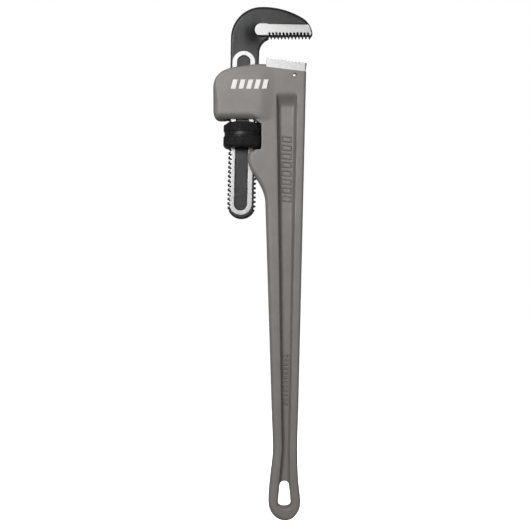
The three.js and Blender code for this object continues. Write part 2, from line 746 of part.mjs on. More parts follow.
/** The rivet that holds the leaf spring, its foot flush with the housing's outer wall. */
function buildRivet() {
  const outside = slotLeft - housing.leftWall;
  const leafFace = slotLeft - leaf.recess + GAP + leaf.thickness + GAP;
  const foot = outside + rivet.footInset;
  const head = leafFace + rivet.headHeight;
  let body = solid(roundAlongX(rivet.radius, outside + rivet.footDepth / 2, head - GAP, rivet.above));
  body = body.add(solid(roundAlongX(rivet.footRadius, foot, outside + rivet.footDepth, rivet.above)));
  body = body.add(solid(roundAlongX(rivet.headRadius, leafFace, head, rivet.above)));
  return piece('spring_rivet', body, looks.rivetSteel);
}

/** The centre line of the coil spring, along +X from the shank into its hole. */
class CoilPath extends THREE.Curve {
  constructor(fromX, toX) {
    super();
    this.fromX = fromX;
    this.toX = toX;
  }

  getPoint(share, target = new THREE.Vector3()) {
    const angle = 2 * Math.PI * coil.turns * share;
    const radius = coil.outerRadius - coil.wire;
    return target.set(
      this.fromX + (this.toX - this.fromX) * share,
      radius * Math.cos(angle),
      coil.above + radius * Math.sin(angle));
  }
}

/** The coil spring behind the shank. */
function buildCoilSpring() {
  const fromX = thread.crestRadius + GAP + coil.wire;
  const toX = slotRight + coil.holeDepth - GAP - coil.wire;
  const wire = new THREE.Shape();
  wire.absarc(0, 0, coil.wire, 0, 2 * Math.PI, false);
  const geometry = new THREE.ExtrudeGeometry(wire, {
    steps: coil.turns * 12,
    curveSegments: 3,
    bevelEnabled: false,
    extrudePath: new CoilPath(fromX, toX),
  });
  return piece('coil_spring', solid(geometry), looks.springWire);
}

// ------------------------------------------------------------------------------ assembly

const wrench = new THREE.Group();
wrench.add(buildHandle(), buildHeelJaw(), buildHeelPin());

const jawGroup = new THREE.Group();
jawGroup.position.set(nutX, 0, nutZ);
jawGroup.rotation.y = jaw.lean;
jawGroup.add(buildHookJaw(), buildNut(), buildFlatSpring(), buildRivet(), buildCoilSpring());
wrench.add(jawGroup);

export default wrench;
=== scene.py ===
"""A heavy straight pipe wrench, finished for looking at.

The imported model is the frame. The handle casting, the hook jaw's forging, the heel jaw and
the nut are built again round it as finer solids: each is a distance field with its
roundings and drafts, turned into one closed mesh. What repeats on them, such as the nut's
knurl, the coil spring and the raised marks, is made by geometry nodes.

Sizes in the classes are millimetres in the frame's own axes: +Z up the handle, +X towards
the outer end of the jaws and -Y out of the front. Meshes are made in metres.
"""
import json
import logging
import math
from dataclasses import dataclass, field
from enum import Enum
from functools import reduce
from typing import Callable, Iterable, Optional, Sequence

import bpy
import numpy as np
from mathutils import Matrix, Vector


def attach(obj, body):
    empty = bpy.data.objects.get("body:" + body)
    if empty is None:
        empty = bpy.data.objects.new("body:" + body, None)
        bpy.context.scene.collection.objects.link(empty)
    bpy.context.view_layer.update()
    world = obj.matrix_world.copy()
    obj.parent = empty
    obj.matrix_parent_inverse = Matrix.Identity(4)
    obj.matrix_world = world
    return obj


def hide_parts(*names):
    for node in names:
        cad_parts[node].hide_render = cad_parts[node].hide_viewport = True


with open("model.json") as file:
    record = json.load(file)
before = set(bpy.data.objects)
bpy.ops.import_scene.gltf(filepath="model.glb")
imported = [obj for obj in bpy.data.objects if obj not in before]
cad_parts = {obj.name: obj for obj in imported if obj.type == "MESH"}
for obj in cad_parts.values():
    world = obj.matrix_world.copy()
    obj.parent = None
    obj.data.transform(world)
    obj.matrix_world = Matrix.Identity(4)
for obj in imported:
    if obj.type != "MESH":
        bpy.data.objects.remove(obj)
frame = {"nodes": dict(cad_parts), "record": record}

log = logging.getLogger("pipe_wrench")

MM = 0.001
GAP = 0.3  # left between pieces that touch

LYING = np.array([[0, 0, 1], [0, 1, 0], [-1, 0, 0]], float)  # turns +Z to +X

Array = np.ndarray
Point = tuple[float, float]
Vec3 = tuple[float, float, float]
Colour = Vec3
Field = Callable[[Array, Array, Array], Array]
Socket = bpy.types.NodeSocket
Value = Socket | float


# --------------------------------------------------------------------------- distance fields


def rounded_and(a: Array, b: Array, radius: float | Array) -> Array:
    """What lies in both solids, its new edge rounded.

    Args:
        a: Distance to the first solid, negative inside.
        b: Distance to the second solid.
        radius: Radius of the rounding along the edge where they meet.

    Returns:
        The distance to the common solid.
    """
    corner = np.hypot(np.maximum(radius + a, 0), np.maximum(radius + b, 0))
    return np.minimum(-radius, np.maximum(a, b)) + corner


def rounded_cut(a: Array, tool: Array, radius: float | Array) -> Array:
    """The first solid without the tool, the new edges rounded to that radius."""
    return rounded_and(a, -tool, radius)


def common(*solids: Array) -> Array:
    """What lies in every one of the solids, its edges sharp."""
    return reduce(np.maximum, solids)


def slab(value: Array, low: float, high: float) -> Array:
    """Distance to a flat slab between two places along one axis."""
    return np.maximum(low - value, value - high)


class Outline:
    """A closed outline in X and Z, drawn like a pen line."""

    def __init__(self, x: float, z: float) -> None:
        """Starts the outline at a point."""
        self.points: list[Point] = [(x, z)]

    def line(self, *points: Point) -> "Outline":
        """Goes straight through the points."""
        self.points.extend(points)
        return self

    def curve(self, *controls: Point, steps: int = 14) -> "Outline":
        """Goes on along a Bezier curve.

        Args:
            controls: Its control points after the current one, the last being its end.
            steps: Straight pieces that the curve is drawn in.

        Returns:
            The outline itself.
        """
        through = np.array([self.points[-1], *controls], float)
        for share in np.linspace(0, 1, steps + 1)[1:]:
            level = through
            while len(level) > 1:
                level = level[:-1] * (1 - share) + level[1:] * share
            self.points.append((float(level[0, 0]), float(level[0, 1])))
        return self

    def arc(self, centre: Point, radii: Point, start: float, end: float,
            steps: int = 24) -> "Outline":
        """Goes on along part of an ellipse.

        Args:
            centre: Its centre.
            radii: Its half width and half height.
            start: Angle where the arc begins, in radians from +X towards +Z.
            end: Angle where it ends.
            steps: Straight pieces that the arc is drawn in.

        Returns:
            The outline itself.
        """
        for angle in np.linspace(start, end, steps + 1):
            self.points.append((
                centre[0] + radii[0] * math.cos(angle),
                centre[1] + radii[1] * math.sin(angle)))
        return self

    def distance(self, x: Array, z: Array) -> Array:
        """Signed distance to the outline, negative inside it.

        Args:
            x: X of the points.
            z: Z of the points.

        Returns:
            The distances, negative inside.
        """
        x, z = np.broadcast_arrays(np.asarray(x, float), np.asarray(z, float))
        nearest = np.full(x.shape, np.inf)
        inside = np.zeros(x.shape, bool)
        ends = self.points[1:] + self.points[:1]
        for (x0, z0), (x1, z1) in zip(self.points, ends):
            run, rise = x1 - x0, z1 - z0
            length = run * run + rise * rise
            if length < 1e-12:
                continue
            share = np.clip(((x - x0) * run + (z - z0) * rise) / length, 0, 1)
            dx, dz = x - x0 - share * run, z - z0 - share * rise
            nearest = np.minimum(nearest, dx * dx + dz * dz)
            if rise != 0:
                crosses = (z0 <= z) != (z1 <= z)
                inside ^= crosses & (x < x0 + (z - z0) * run / rise)
        return np.where(inside, -1.0, 1.0) * np.sqrt(nearest)


def ramp(value: Array, start: float, end: float) -> Array:
    """0 up to the start, 1 from the end on, and a smooth change between them."""
    share = np.clip((value - start) / (end - start), 0, 1)
    return share * share * (3 - 2 * share)


def stadium(x: Array, z: Array, half_width: float, low: float, high: float) -> Array:
    """Distance to a long round-ended shape along Z, between its two tips."""
    beyond = np.maximum(np.maximum(low + half_width - z, z - high + half_width), 0)
    return np.hypot(x, beyond) - half_width


def grid_lines(*stops: tuple[float, float]) -> Array:
    """Grid lines through stretches of their own spacing.

    Args:
        stops: (place, spacing up to the next place); the last one's spacing isn't used.

    Returns:
        The places of all grid lines.
    """
    places: list[Array] = []
    for (start, spacing), (end, _) in zip(stops, stops[1:]):
        count = max(1, round((end - start) / spacing))
        places.append(np.linspace(start, end, count, endpoint=False))
    places.append(np.array([stops[-1][0]]))
    return np.concatenate(places)


def slope_of(solid: Field, points: Array, reach: float = 0.04) -> Array:
    """Gradient of a field at points.

    Args:
        solid: The field.
        points: Points, one a row.
        reach: How far from each point the field is read.

    Returns:
        The gradients, one a row.
    """
    total = np.zeros_like(points)
    for corner in ((1, 1, 1), (1, -1, -1), (-1, 1, -1), (-1, -1, 1)):
        way = np.array(corner, float)
        moved = points + way * reach
        value = solid(moved[:, 0], moved[:, 1], moved[:, 2])
        total += value[:, None] * way
    return total / (4 * reach)


class SurfaceNet:
    """Turns a distance field into a closed mesh that keeps its sharp edges.

    Each grid cell that the surface crosses gets one vertex, at the place that agrees best
    with the surface's planes around it, and each crossed grid edge gets one face.
    """

    FLATNESS = 0.02  # pull of each vertex towards the middle of its cell's crossings
    SMOOTH = 0.04  # cells whose normals spread less than this count as smooth

    def __init__(self, solid: Field, xs: Array, ys: Array, zs: Array) -> None:
        """Keeps the field and the grid lines along X, Y and Z."""
        self.solid = solid
        self.axes = (xs, ys, zs)

    def _crossings(self) -> tuple[Array, Array, Array]:
        """Finds where grid edges cross the surface.

        Returns:
            The crossing points, the four cells round each, and whether each face is to be
            turned over.
        """
        xs, ys, zs = self.axes
        shape = (len(xs), len(ys), len(zs))
        value = self.solid(xs[:, None, None], ys[None, :, None], zs[None, None, :])
        value = np.ascontiguousarray(np.broadcast_to(value, shape))
        inside = value < 0
        points, cells, turned = [], [], []
        for axis in range(3):
            low = [slice(None)] * 3
            high = [slice(None)] * 3
            low[axis], high[axis] = slice(0, -1), slice(1, None)
            at = np.argwhere(inside[tuple(low)] != inside[tuple(high)])
            above = at.copy()
            above[:, axis] += 1
            first, second = value[tuple(at.T)], value[tuple(above.T)]
            start = np.stack([self.axes[d][at[:, d]] for d in range(3)], 1)
            end = np.stack([self.axes[d][above[:, d]] for d in range(3)], 1)
            points.append(self._refined(start, end, first, second))
            turned.append(first > 0)
            ring = []
            b, c = (axis + 1) % 3, (axis + 2) % 3
            for db, dc in ((-1, -1), (0, -1), (0, 0), (-1, 0)):
                cell = at.copy()
                cell[:, b] += db
                cell[:, c] += dc
                ring.append(np.ravel_multi_index(tuple(cell.T), shape))
            cells.append(np.stack(ring, 1))
        return np.concatenate(points), np.concatenate(cells), np.concatenate(turned)

    def _refined(self, start: Array, end: Array, first: Array, second: Array) -> Array:
        """Closes in on the crossing along each grid edge, with two more readings.

        Args:
            start: Lower end of each grid edge.
            end: Upper end of each grid edge.
            first: The field at the lower ends.
            second: The field at the upper ends.

        Returns:
            The crossing points, one a row.
        """
        low, high = np.zeros(len(start)), np.ones(len(start))
        low_value, high_value = first.copy(), second.copy()
        share = low_value / (low_value - high_value)
        for _ in range(2):
            point = start + (end - start) * share[:, None]
            value = self.solid(point[:, 0], point[:, 1], point[:, 2])
            same = (value < 0) == (low_value < 0)
            low, low_value = np.where(same, share, low), np.where(same, value, low_value)
            high, high_value = np.where(same, high, share), np.where(same, high_value, value)
            spread = low_value - high_value
            spread = np.where(np.abs(spread) < 1e-12, 1, spread)
            share = np.clip(low + (high - low) * low_value / spread, low, high)
        return start + (end - start) * share[:, None]

    def mesh(self) -> tuple[Array, Array]:
        """Builds the surface.

        Returns:
            Its vertices, one a row, and its faces of four corners each.
        """
        points, cells, turned = self._crossings()
        normals = slope_of(self.solid, points)
        normals /= np.maximum(np.linalg.norm(normals, axis=1, keepdims=True), 1e-9)
        used, corner = np.unique(cells, return_inverse=True)
        corner = corner.reshape(cells.shape)
        owner = corner.reshape(-1)
        count = np.bincount(owner, minlength=len(used)).astype(float)

        def gathered(values: Array) -> Array:
            """Sum over each cell of one value for each crossing."""
            return np.bincount(owner, np.repeat(values, 4), minlength=len(used))

        middle = np.stack([gathered(points[:, d]) for d in range(3)], 1) / count[:, None]
        offset = np.einsum("ij,ij->i", normals, points)
        matrix = np.empty((len(used), 3, 3))
        for i in range(3):
            for j in range(i, 3):
                matrix[:, i, j] = matrix[:, j, i] = gathered(normals[:, i] * normals[:, j])
        wanted = np.stack([gathered(normals[:, d] * offset) for d in range(3)], 1)
        wanted -= np.einsum("nij,nj->ni", matrix, middle)
        stiff = matrix + np.eye(3) * self.FLATNESS * count[:, None, None]
        vertices = middle + np.linalg.solve(stiff, wanted[:, :, None])[:, :, 0]
        place = np.stack(np.unravel_index(used, [len(a) for a in self.axes]), 1)
        lowest = np.stack([self.axes[d][place[:, d]] for d in range(3)], 1)
        highest = np.stack([self.axes[d][place[:, d] + 1] for d in range(3)], 1)
        vertices = np.clip(vertices, lowest, highest)
        spread = np.linalg.eigvalsh(matrix / count[:, None, None])[:, 1]
        smooth = np.flatnonzero(spread < self.SMOOTH)
        near = vertices[smooth]
        slope = slope_of(self.solid, near)
        value = self.solid(near[:, 0], near[:, 1], near[:, 2])
        size = np.maximum(np.einsum("ij,ij->i", slope, slope), 0.25)
        move = -slope * (value / size)[:, None]
        limit = 0.25 * (highest - lowest)[smooth]
        vertices[smooth] = near + np.clip(move, -limit, limit)
        faces = np.where(turned[:, None], corner[:, ::-1], corner)
        return vertices, faces


# ------------------------------------------------------------------------------- mesh helpers


def in_scene(name: str, data: bpy.types.ID) -> bpy.types.Object:
    """An object in the scene that shows a mesh, a lamp or a camera.

    Args:
        name: Its name.
        data: The mesh, lamp or camera.

    Returns:
        The object.
    """
    made = bpy.data.objects.new(name, data)
    bpy.context.scene.collection.objects.link(made)
    return made


def mesh_object(name: str, vertices: Array, faces: Iterable[Sequence[int]],
                sharp_from: float = 33.0) -> bpy.types.Object:
    """Makes a mesh object from points in millimetres.

    Args:
        name: Name of the object and its mesh.
        vertices: Points, one a row.
        faces: Corners of each face.
        sharp_from: Angle in degrees past which an edge between faces is shaded sharp.

    Returns:
        The object, at the origin, with its place in its mesh.
    """
    data = bpy.data.meshes.new(name)
    data.from_pydata((np.asarray(vertices) * MM).tolist(), [], [list(map(int, f)) for f in faces])
    data.validate()
    data.shade_smooth()
    data.set_sharp_from_angle(angle=math.radians(sharp_from))
    return in_scene(name, data)


def read_rows(store: bpy.types.bpy_prop_collection, name: str) -> Array:
    """One value of three numbers for each item of a mesh's collection, one a row.

    Args:
        store: A mesh's vertices or edges.
        name: The value's name.

    Returns:
        The values, one a row.
    """
    values = np.empty(len(store) * 3)
    store.foreach_get(name, values)
    return values.reshape(-1, 3)


def write_bend(obj: bpy.types.Object, rounds: int = 3) -> None:
    """Stores how much the surface bends at each vertex, for worn edges and shaded hollows.

    Args:
        obj: A mesh object in metres. It gets the point attribute "bend", in 1/mm: above
            zero on outer edges and below zero in inner corners.
        rounds: How many times the value is averaged with its neighbours'.
    """
    data = obj.data
    count = len(data.vertices)
    place = read_rows(data.vertices, "co") / MM
    normal = read_rows(data.vertices, "normal")
    edge = np.empty(len(data.edges) * 2, np.int64)
    data.edges.foreach_get("vertices", edge)
    one, two = edge.reshape(-1, 2).T
    reach = place[two] - place[one]
    size = np.maximum(np.einsum("ij,ij->i", reach, reach), 1e-6)
    out_one = -np.einsum("ij,ij->i", reach, normal[one]) * 2 / size
    out_two = np.einsum("ij,ij->i", reach, normal[two]) * 2 / size
    degree = np.bincount(np.r_[one, two], minlength=count).clip(1)
    bend = np.bincount(np.r_[one, two], np.r_[out_one, out_two], minlength=count) / degree
    for _ in range(rounds):
        around = np.bincount(np.r_[one, two], np.r_[bend[two], bend[one]], minlength=count)
        bend = (bend + around) / (degree + 1)
    store = data.attributes.new("bend", "FLOAT", "POINT")
    store.data.foreach_set("value", np.clip(bend, -1, 1).astype(np.float32))


def turned_piece(name: str, profile: Sequence[Point], sides: int = 48,
                 sharp_from: float = 33.0) -> bpy.types.Object:
    """A solid of revolution about Z through the origin.

    Args:
        name: Name of the object.
        profile: (radius, height) from the lower pole to the upper pole, whose radii are 0.
        sides: Vertices round each ring.
        sharp_from: Angle in degrees past which an edge is shaded sharp.

    Returns:
        The object.
    """
    vertices: list[tuple[float, float, float]] = [(0, 0, profile[0][1])]
    rings = profile[1:-1]
    for radius, height in rings:
        for side in range(sides):
            angle = 2 * math.pi * side / sides
            vertices.append((radius * math.cos(angle), radius * math.sin(angle), height))
    vertices.append((0, 0, profile[-1][1]))
    top = len(vertices) - 1
    faces: list[tuple[int, ...]] = []
    for side in range(sides):
        after = (side + 1) % sides
        faces.append((0, 1 + after, 1 + side))
        last = 1 + (len(rings) - 1) * sides
        faces.append((top, last + side, last + after))
        for ring in range(len(rings) - 1):
            low, high = 1 + ring * sides, 1 + (ring + 1) * sides
            faces.append((low + side, low + after, high + after, high + side))
    return mesh_object(name, np.array(vertices), faces, sharp_from)


def place_mesh(obj: bpy.types.Object, turn: Array, shift: Sequence[float]) -> None:
    """Turns and moves a mesh itself, so that its object stays at the origin.

    Args:
        obj: The object, in metres.
        turn: Rotation matrix.
        shift: Millimetres to move by after turning.
    """
    place = read_rows(obj.data.vertices, "co") @ turn.T + np.asarray(shift) * MM
    obj.data.vertices.foreach_set("co", place.reshape(-1))
    obj.data.update()


# --------------------------------------------------------------------------------- the frame


@dataclass(frozen=True)
class JawAxis:
    """The hook jaw's own axes: origin in the middle of the nut, +Z up the shank."""

    x: float
    z: float
    lean: float

    @classmethod
    def from_frame(cls) -> "JawAxis":
        """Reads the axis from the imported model's nut joint.

        Returns:
            The axis.
        """
        spin = next(j for j in frame["record"]["behaviour"]["joints"] if j["name"] == "nut_spin")
        across, _, up = spin["axis"]
        return cls(spin["pos_m"][0] / MM, spin["pos_m"][2] / MM, math.atan2(across, up))

    def local(self, x: Array, z: Array) -> tuple[Array, Array]:
        """X and Z of points in the jaw's axes.

        Args:
            x: X of the points.
            z: Z of the points.

        Returns:
            X and Z of the same points in the jaw's axes.
        """
        cos, sin = math.cos(self.lean), math.sin(self.lean)
        dx, dz = x - self.x, z - self.z
        return dx * cos - dz * sin, dx * sin + dz * cos

    def turn(self) -> Array:
        """Rotation from the jaw's axes to the frame's."""
        cos, sin = math.cos(self.lean), math.sin(self.lean)
        return np.array([[cos, 0, sin], [0, 1, 0], [-sin, 0, cos]])

    def shift(self) -> Vec3:
        """Place of the jaw's origin in the frame."""
        return (self.x, 0.0, self.z)

    def seat(self, piece: bpy.types.Object) -> None:
        """Carries a piece over from the jaw's axes to the frame's."""
        place_mesh(piece, self.turn(), self.shift())


# ---------------------------------------------------------------------------------- finishes


class Slot(Enum):
    """The record's material slots."""

    CAST_HANDLE = "cast_handle"
    FORGED_JAW = "forged_jaw"
    DARK_NUT = "dark_nut"
    BRIGHT_JAW = "bright_jaw"
    BRIGHT_PIN = "bright_pin"
    SPRING_STEEL = "spring_steel"
    RIVET_STEEL = "rivet_steel"


class Mixed(Enum):
    """What a mix node mixes: its data type and its sockets' type."""

    COLOUR = ("RGBA", "RGBA")
    NUMBER = ("FLOAT", "VALUE")
    NORMAL = ("VECTOR", "VECTOR")


def add_node(tree: bpy.types.NodeTree, kind: str, links: Optional[dict] = None,
             **settings: object) -> bpy.types.Node:
    """Adds a node to a tree.

    Args:
        tree: The tree.
        kind: The node's type.
        links: Sockets or plain values for its inputs, by name or number.
        settings: Its properties.

    Returns:
        The node.
    """
    made = tree.nodes.new(kind)
    for key, value in settings.items():
        setattr(made, key, value)
    for key, value in (links or {}).items():
        if isinstance(value, Socket):
            tree.links.new(value, made.inputs[key])
        else:
            made.inputs[key].default_value = value
    return made


class NodeBench:
    """A material's node tree with short calls for the nodes that the finishes share."""

    def __init__(self, name: str) -> None:
        """Makes an empty material of that name with a Principled shader.

        Args:
            name: Name of the material.
        """
        self.material = bpy.data.materials.new(name)
        self.material.use_nodes = True
        self.tree = self.material.node_tree
        self.tree.nodes.clear()
        self.shader = self.node("ShaderNodeBsdfPrincipled")
        self.node("ShaderNodeOutputMaterial", {"Surface": self.shader.outputs["BSDF"]})
        self.object_space = self.node("ShaderNodeTexCoord").outputs["Object"]

    def node(self, kind: str, links: Optional[dict] = None, **settings: object) -> bpy.types.Node:
        """Adds a node to the material."""
        return add_node(self.tree, kind, links, **settings)

    def stretched(self, scale: Sequence[float]) -> Socket:
        """Object coordinates, stretched by a factor along each axis."""
        return self.node("ShaderNodeMapping",
                         {"Scale": scale, "Vector": self.object_space}).outputs["Vector"]

    def moved(self, vector: Socket, by: Vec3) -> Socket:
        """Coordinates whose zero lies at a place, in millimetres."""
        return self.node("ShaderNodeVectorMath", {0: vector, 1: [part * MM for part in by]},
                         operation="SUBTRACT").outputs[0]

    def noise(self, scale: float, detail: float = 3.0, roughness: float = 0.55,
              at: Optional[Socket] = None) -> Socket:
        """Fractal noise from 0 to 1.

        Args:
            scale: Lumps in a metre.
            detail: Octaves.
            roughness: How strong the finer octaves are.
            at: Vector to read; Object coordinates unless given.

        Returns:
            The value.
        """
        node = self.node("ShaderNodeTexNoise", {
            "Scale": scale, "Detail": detail, "Roughness": roughness,
            "Vector": at or self.object_space})
        return node.outputs["Fac"]

    def pits(self, scale: float) -> Socket:
        """Distance from scattered points, for pits and grains."""
        return self.node("ShaderNodeTexVoronoi",
                         {"Scale": scale, "Vector": self.object_space}).outputs["Distance"]

    def bend(self) -> Socket:
        """How much the mesh bends, as write_bend stored it."""
        return self.node("ShaderNodeAttribute", attribute_name="bend").outputs["Fac"]

    def math(self, kind: str, a: Value, b: Value = 0.0) -> Socket:
        """One step of arithmetic."""
        return self.node("ShaderNodeMath", {0: a, 1: b}, operation=kind).outputs[0]

    def times(self, a: Value, b: Value) -> Socket:
        """The product of two numbers."""
        return self.math("MULTIPLY", a, b)

    def far(self, a: Value, b: Value) -> Socket:
        """The length of the slope over two legs."""
        return self.math("SQRT", self.math("ADD", self.times(a, a), self.times(b, b)))

    def span(self, value: Socket, low: float, high: float,
             to_low: float = 0.0, to_high: float = 1.0) -> Socket:
        """Carries one range over to another and holds it at the ends.

        Args:
            value: The value.
            low: Start of its range.
            high: End of its range.
            to_low: What the start becomes.
            to_high: What the end becomes.

        Returns:
            The new value.
        """
        return self.node("ShaderNodeMapRange", {
            "Value": value, "From Min": low, "From Max": high,
            "To Min": to_low, "To Max": to_high}).outputs["Result"]

    def tone(self, value: Socket) -> Socket:
        """A noise spread out, so that its usual values fill 0 to 1."""
        return self.span(value, 0.3, 0.7)

    def mix(self, share: Value, a: Value | Colour, b: Value | Colour,
            kind: Mixed = Mixed.COLOUR) -> Socket:
        """One value, or another where the share is 1.

        Args:
            share: Share of the second value.
            a: The first value.
            b: The second value.
            kind: What is mixed.

        Returns:
            The mixed value.
        """
        data_type, socket_type = kind.value
        node = self.node("ShaderNodeMix", {"Factor": share}, data_type=data_type)
        sockets = [s for s in node.inputs if s.type == socket_type][-2:]
        for value, socket in zip((a, b), sockets):
            if isinstance(value, Socket):
                self.tree.links.new(value, socket)
            else:
                socket.default_value = (*value, 1.0) if kind is Mixed.COLOUR else value
        return next(s for s in node.outputs if s.type == socket_type)

    def parts(self, vector: Socket) -> dict[str, Socket]:
        """X, Y and Z of a vector."""
        node = self.node("ShaderNodeSeparateXYZ", {0: vector})
        return {name: node.outputs[name] for name in "XYZ"}

    def bump(self, height: Socket, depth: float, strength: float = 1.0,
             under: Optional[Socket] = None) -> Socket:
        """A normal roughened by a height from 0 to 1.

        Args:
            height: The height.
            depth: What a height of 1 stands for, in metres.
            strength: Share of the effect.
            under: Normal of a coarser bump that this one lies on.

        Returns:
            The normal.
        """
        links = {"Distance": depth, "Strength": strength, "Height": height}
        if under is not None:
            links["Normal"] = under
        return self.node("ShaderNodeBump", links).outputs["Normal"]

    def stadium_mask(self, vector: Socket, half_width: float, low: float, high: float,
                     along: str = "Z", soft: float = 0.25) -> Socket:
        """1 inside a long round-ended shape and 0 outside.

        Args:
            vector: Coordinates centred on the shape's middle line, in metres.
            half_width: Half its width, in millimetres.
            low: Its lower tip along its length.
            high: Its upper tip.
            along: The axis of its length, the other being X or Z.
            soft: Half the width of the change from 0 to 1, in millimetres.

        Returns:
            The mask.
        """
        part = self.parts(vector)
        across = part["X" if along == "Z" else "Z"]
        below = self.math("SUBTRACT", (low + half_width) * MM, part[along])
        above = self.math("SUBTRACT", part[along], (high - half_width) * MM)
        beyond = self.math("MAXIMUM", self.math("MAXIMUM", below, above), 0.0)
        return self.span(self.far(beyond, across), (half_width - soft) * MM,
                         (half_width + soft) * MM, 1.0, 0.0)

    def finish(self, colour: Socket, roughness: Value, metallic: Value, normal: Socket,
               specular: float = 0.5) -> bpy.types.Material:
        """Joins the results to the shader.

        Args:
            colour: Base colour.
            roughness: Roughness.
            metallic: Metallic share.
            normal: Shaded normal.
            specular: Specular level.

        Returns:
            The material.
        """
        for name, value in {"Base Color": colour, "Roughness": roughness, "Metallic": metallic,
                            "Normal": normal, "Specular IOR Level": specular}.items():
            if isinstance(value, Socket):
                self.tree.links.new(value, self.shader.inputs[name])
            else:
                self.shader.inputs[name].default_value = value
        return self.material


@dataclass(frozen=True)
class CastPaint:
    """Sand-cast aluminium under a thin warm-grey satin paint."""

    name: str = "cast_grey"
    light: Colour = (0.262, 0.247, 0.231)
    dark: Colour = (0.205, 0.192, 0.179)
    # painted shade: a darker colour mixed into inner corners and recesses, where shade falls
    hollow: Colour = (0.135, 0.124, 0.115)
    worn: Colour = (0.36, 0.352, 0.342)
    grain: float = 620.0  # sand grains in a metre
    grain_depth: float = 0.00016

    def build(self) -> bpy.types.Material:
        """Makes the material: mottled paint, painted shade in hollows and worn on edges, over sand.

        Returns:
            The material.
        """
        bench = NodeBench(self.name)
        speckle = bench.noise(self.grain * 1.3, 2.0, 0.6)
        tone = bench.mix(0.35, bench.tone(bench.noise(22.0, 4.0, 0.6)), bench.tone(speckle),
                         Mixed.NUMBER)
        colour = bench.mix(tone, self.dark, self.light)
        bend = bench.bend()
        # painted shade: inner corners (bend below zero) are darkened towards the hollow colour
        inner = bench.span(bend, -0.02, -0.22)
        colour = bench.mix(bench.times(inner, 0.35), colour, self.hollow)
        scuff = bench.span(bench.noise(95.0, 5.0, 0.7), 0.46, 0.62)
        outer = bench.times(bench.span(bend, 0.16, 0.34), scuff)
        colour = bench.mix(bench.times(outer, 0.6), colour, self.worn)
        rough = bench.span(speckle, 0.25, 0.75, 0.44, 0.6)
        sand = bench.math("ADD", bench.times(bench.noise(self.grain, 3.0, 0.65), 0.7),
                          bench.times(bench.pits(self.grain * 0.8), 0.3))
        normal = bench.bump(bench.noise(48.0, 3.0, 0.5), 0.0005, 0.5)
        seam = bench.math("ABSOLUTE", bench.parts(bench.object_space)["Y"])
        normal = bench.bump(bench.span(seam, 0.0, 0.0009, 1.0, 0.0), 0.0004, 0.6, normal)
        normal = bench.bump(sand, self.grain_depth, 1.0, normal)
        return bench.finish(colour, rough, 0.12, normal)


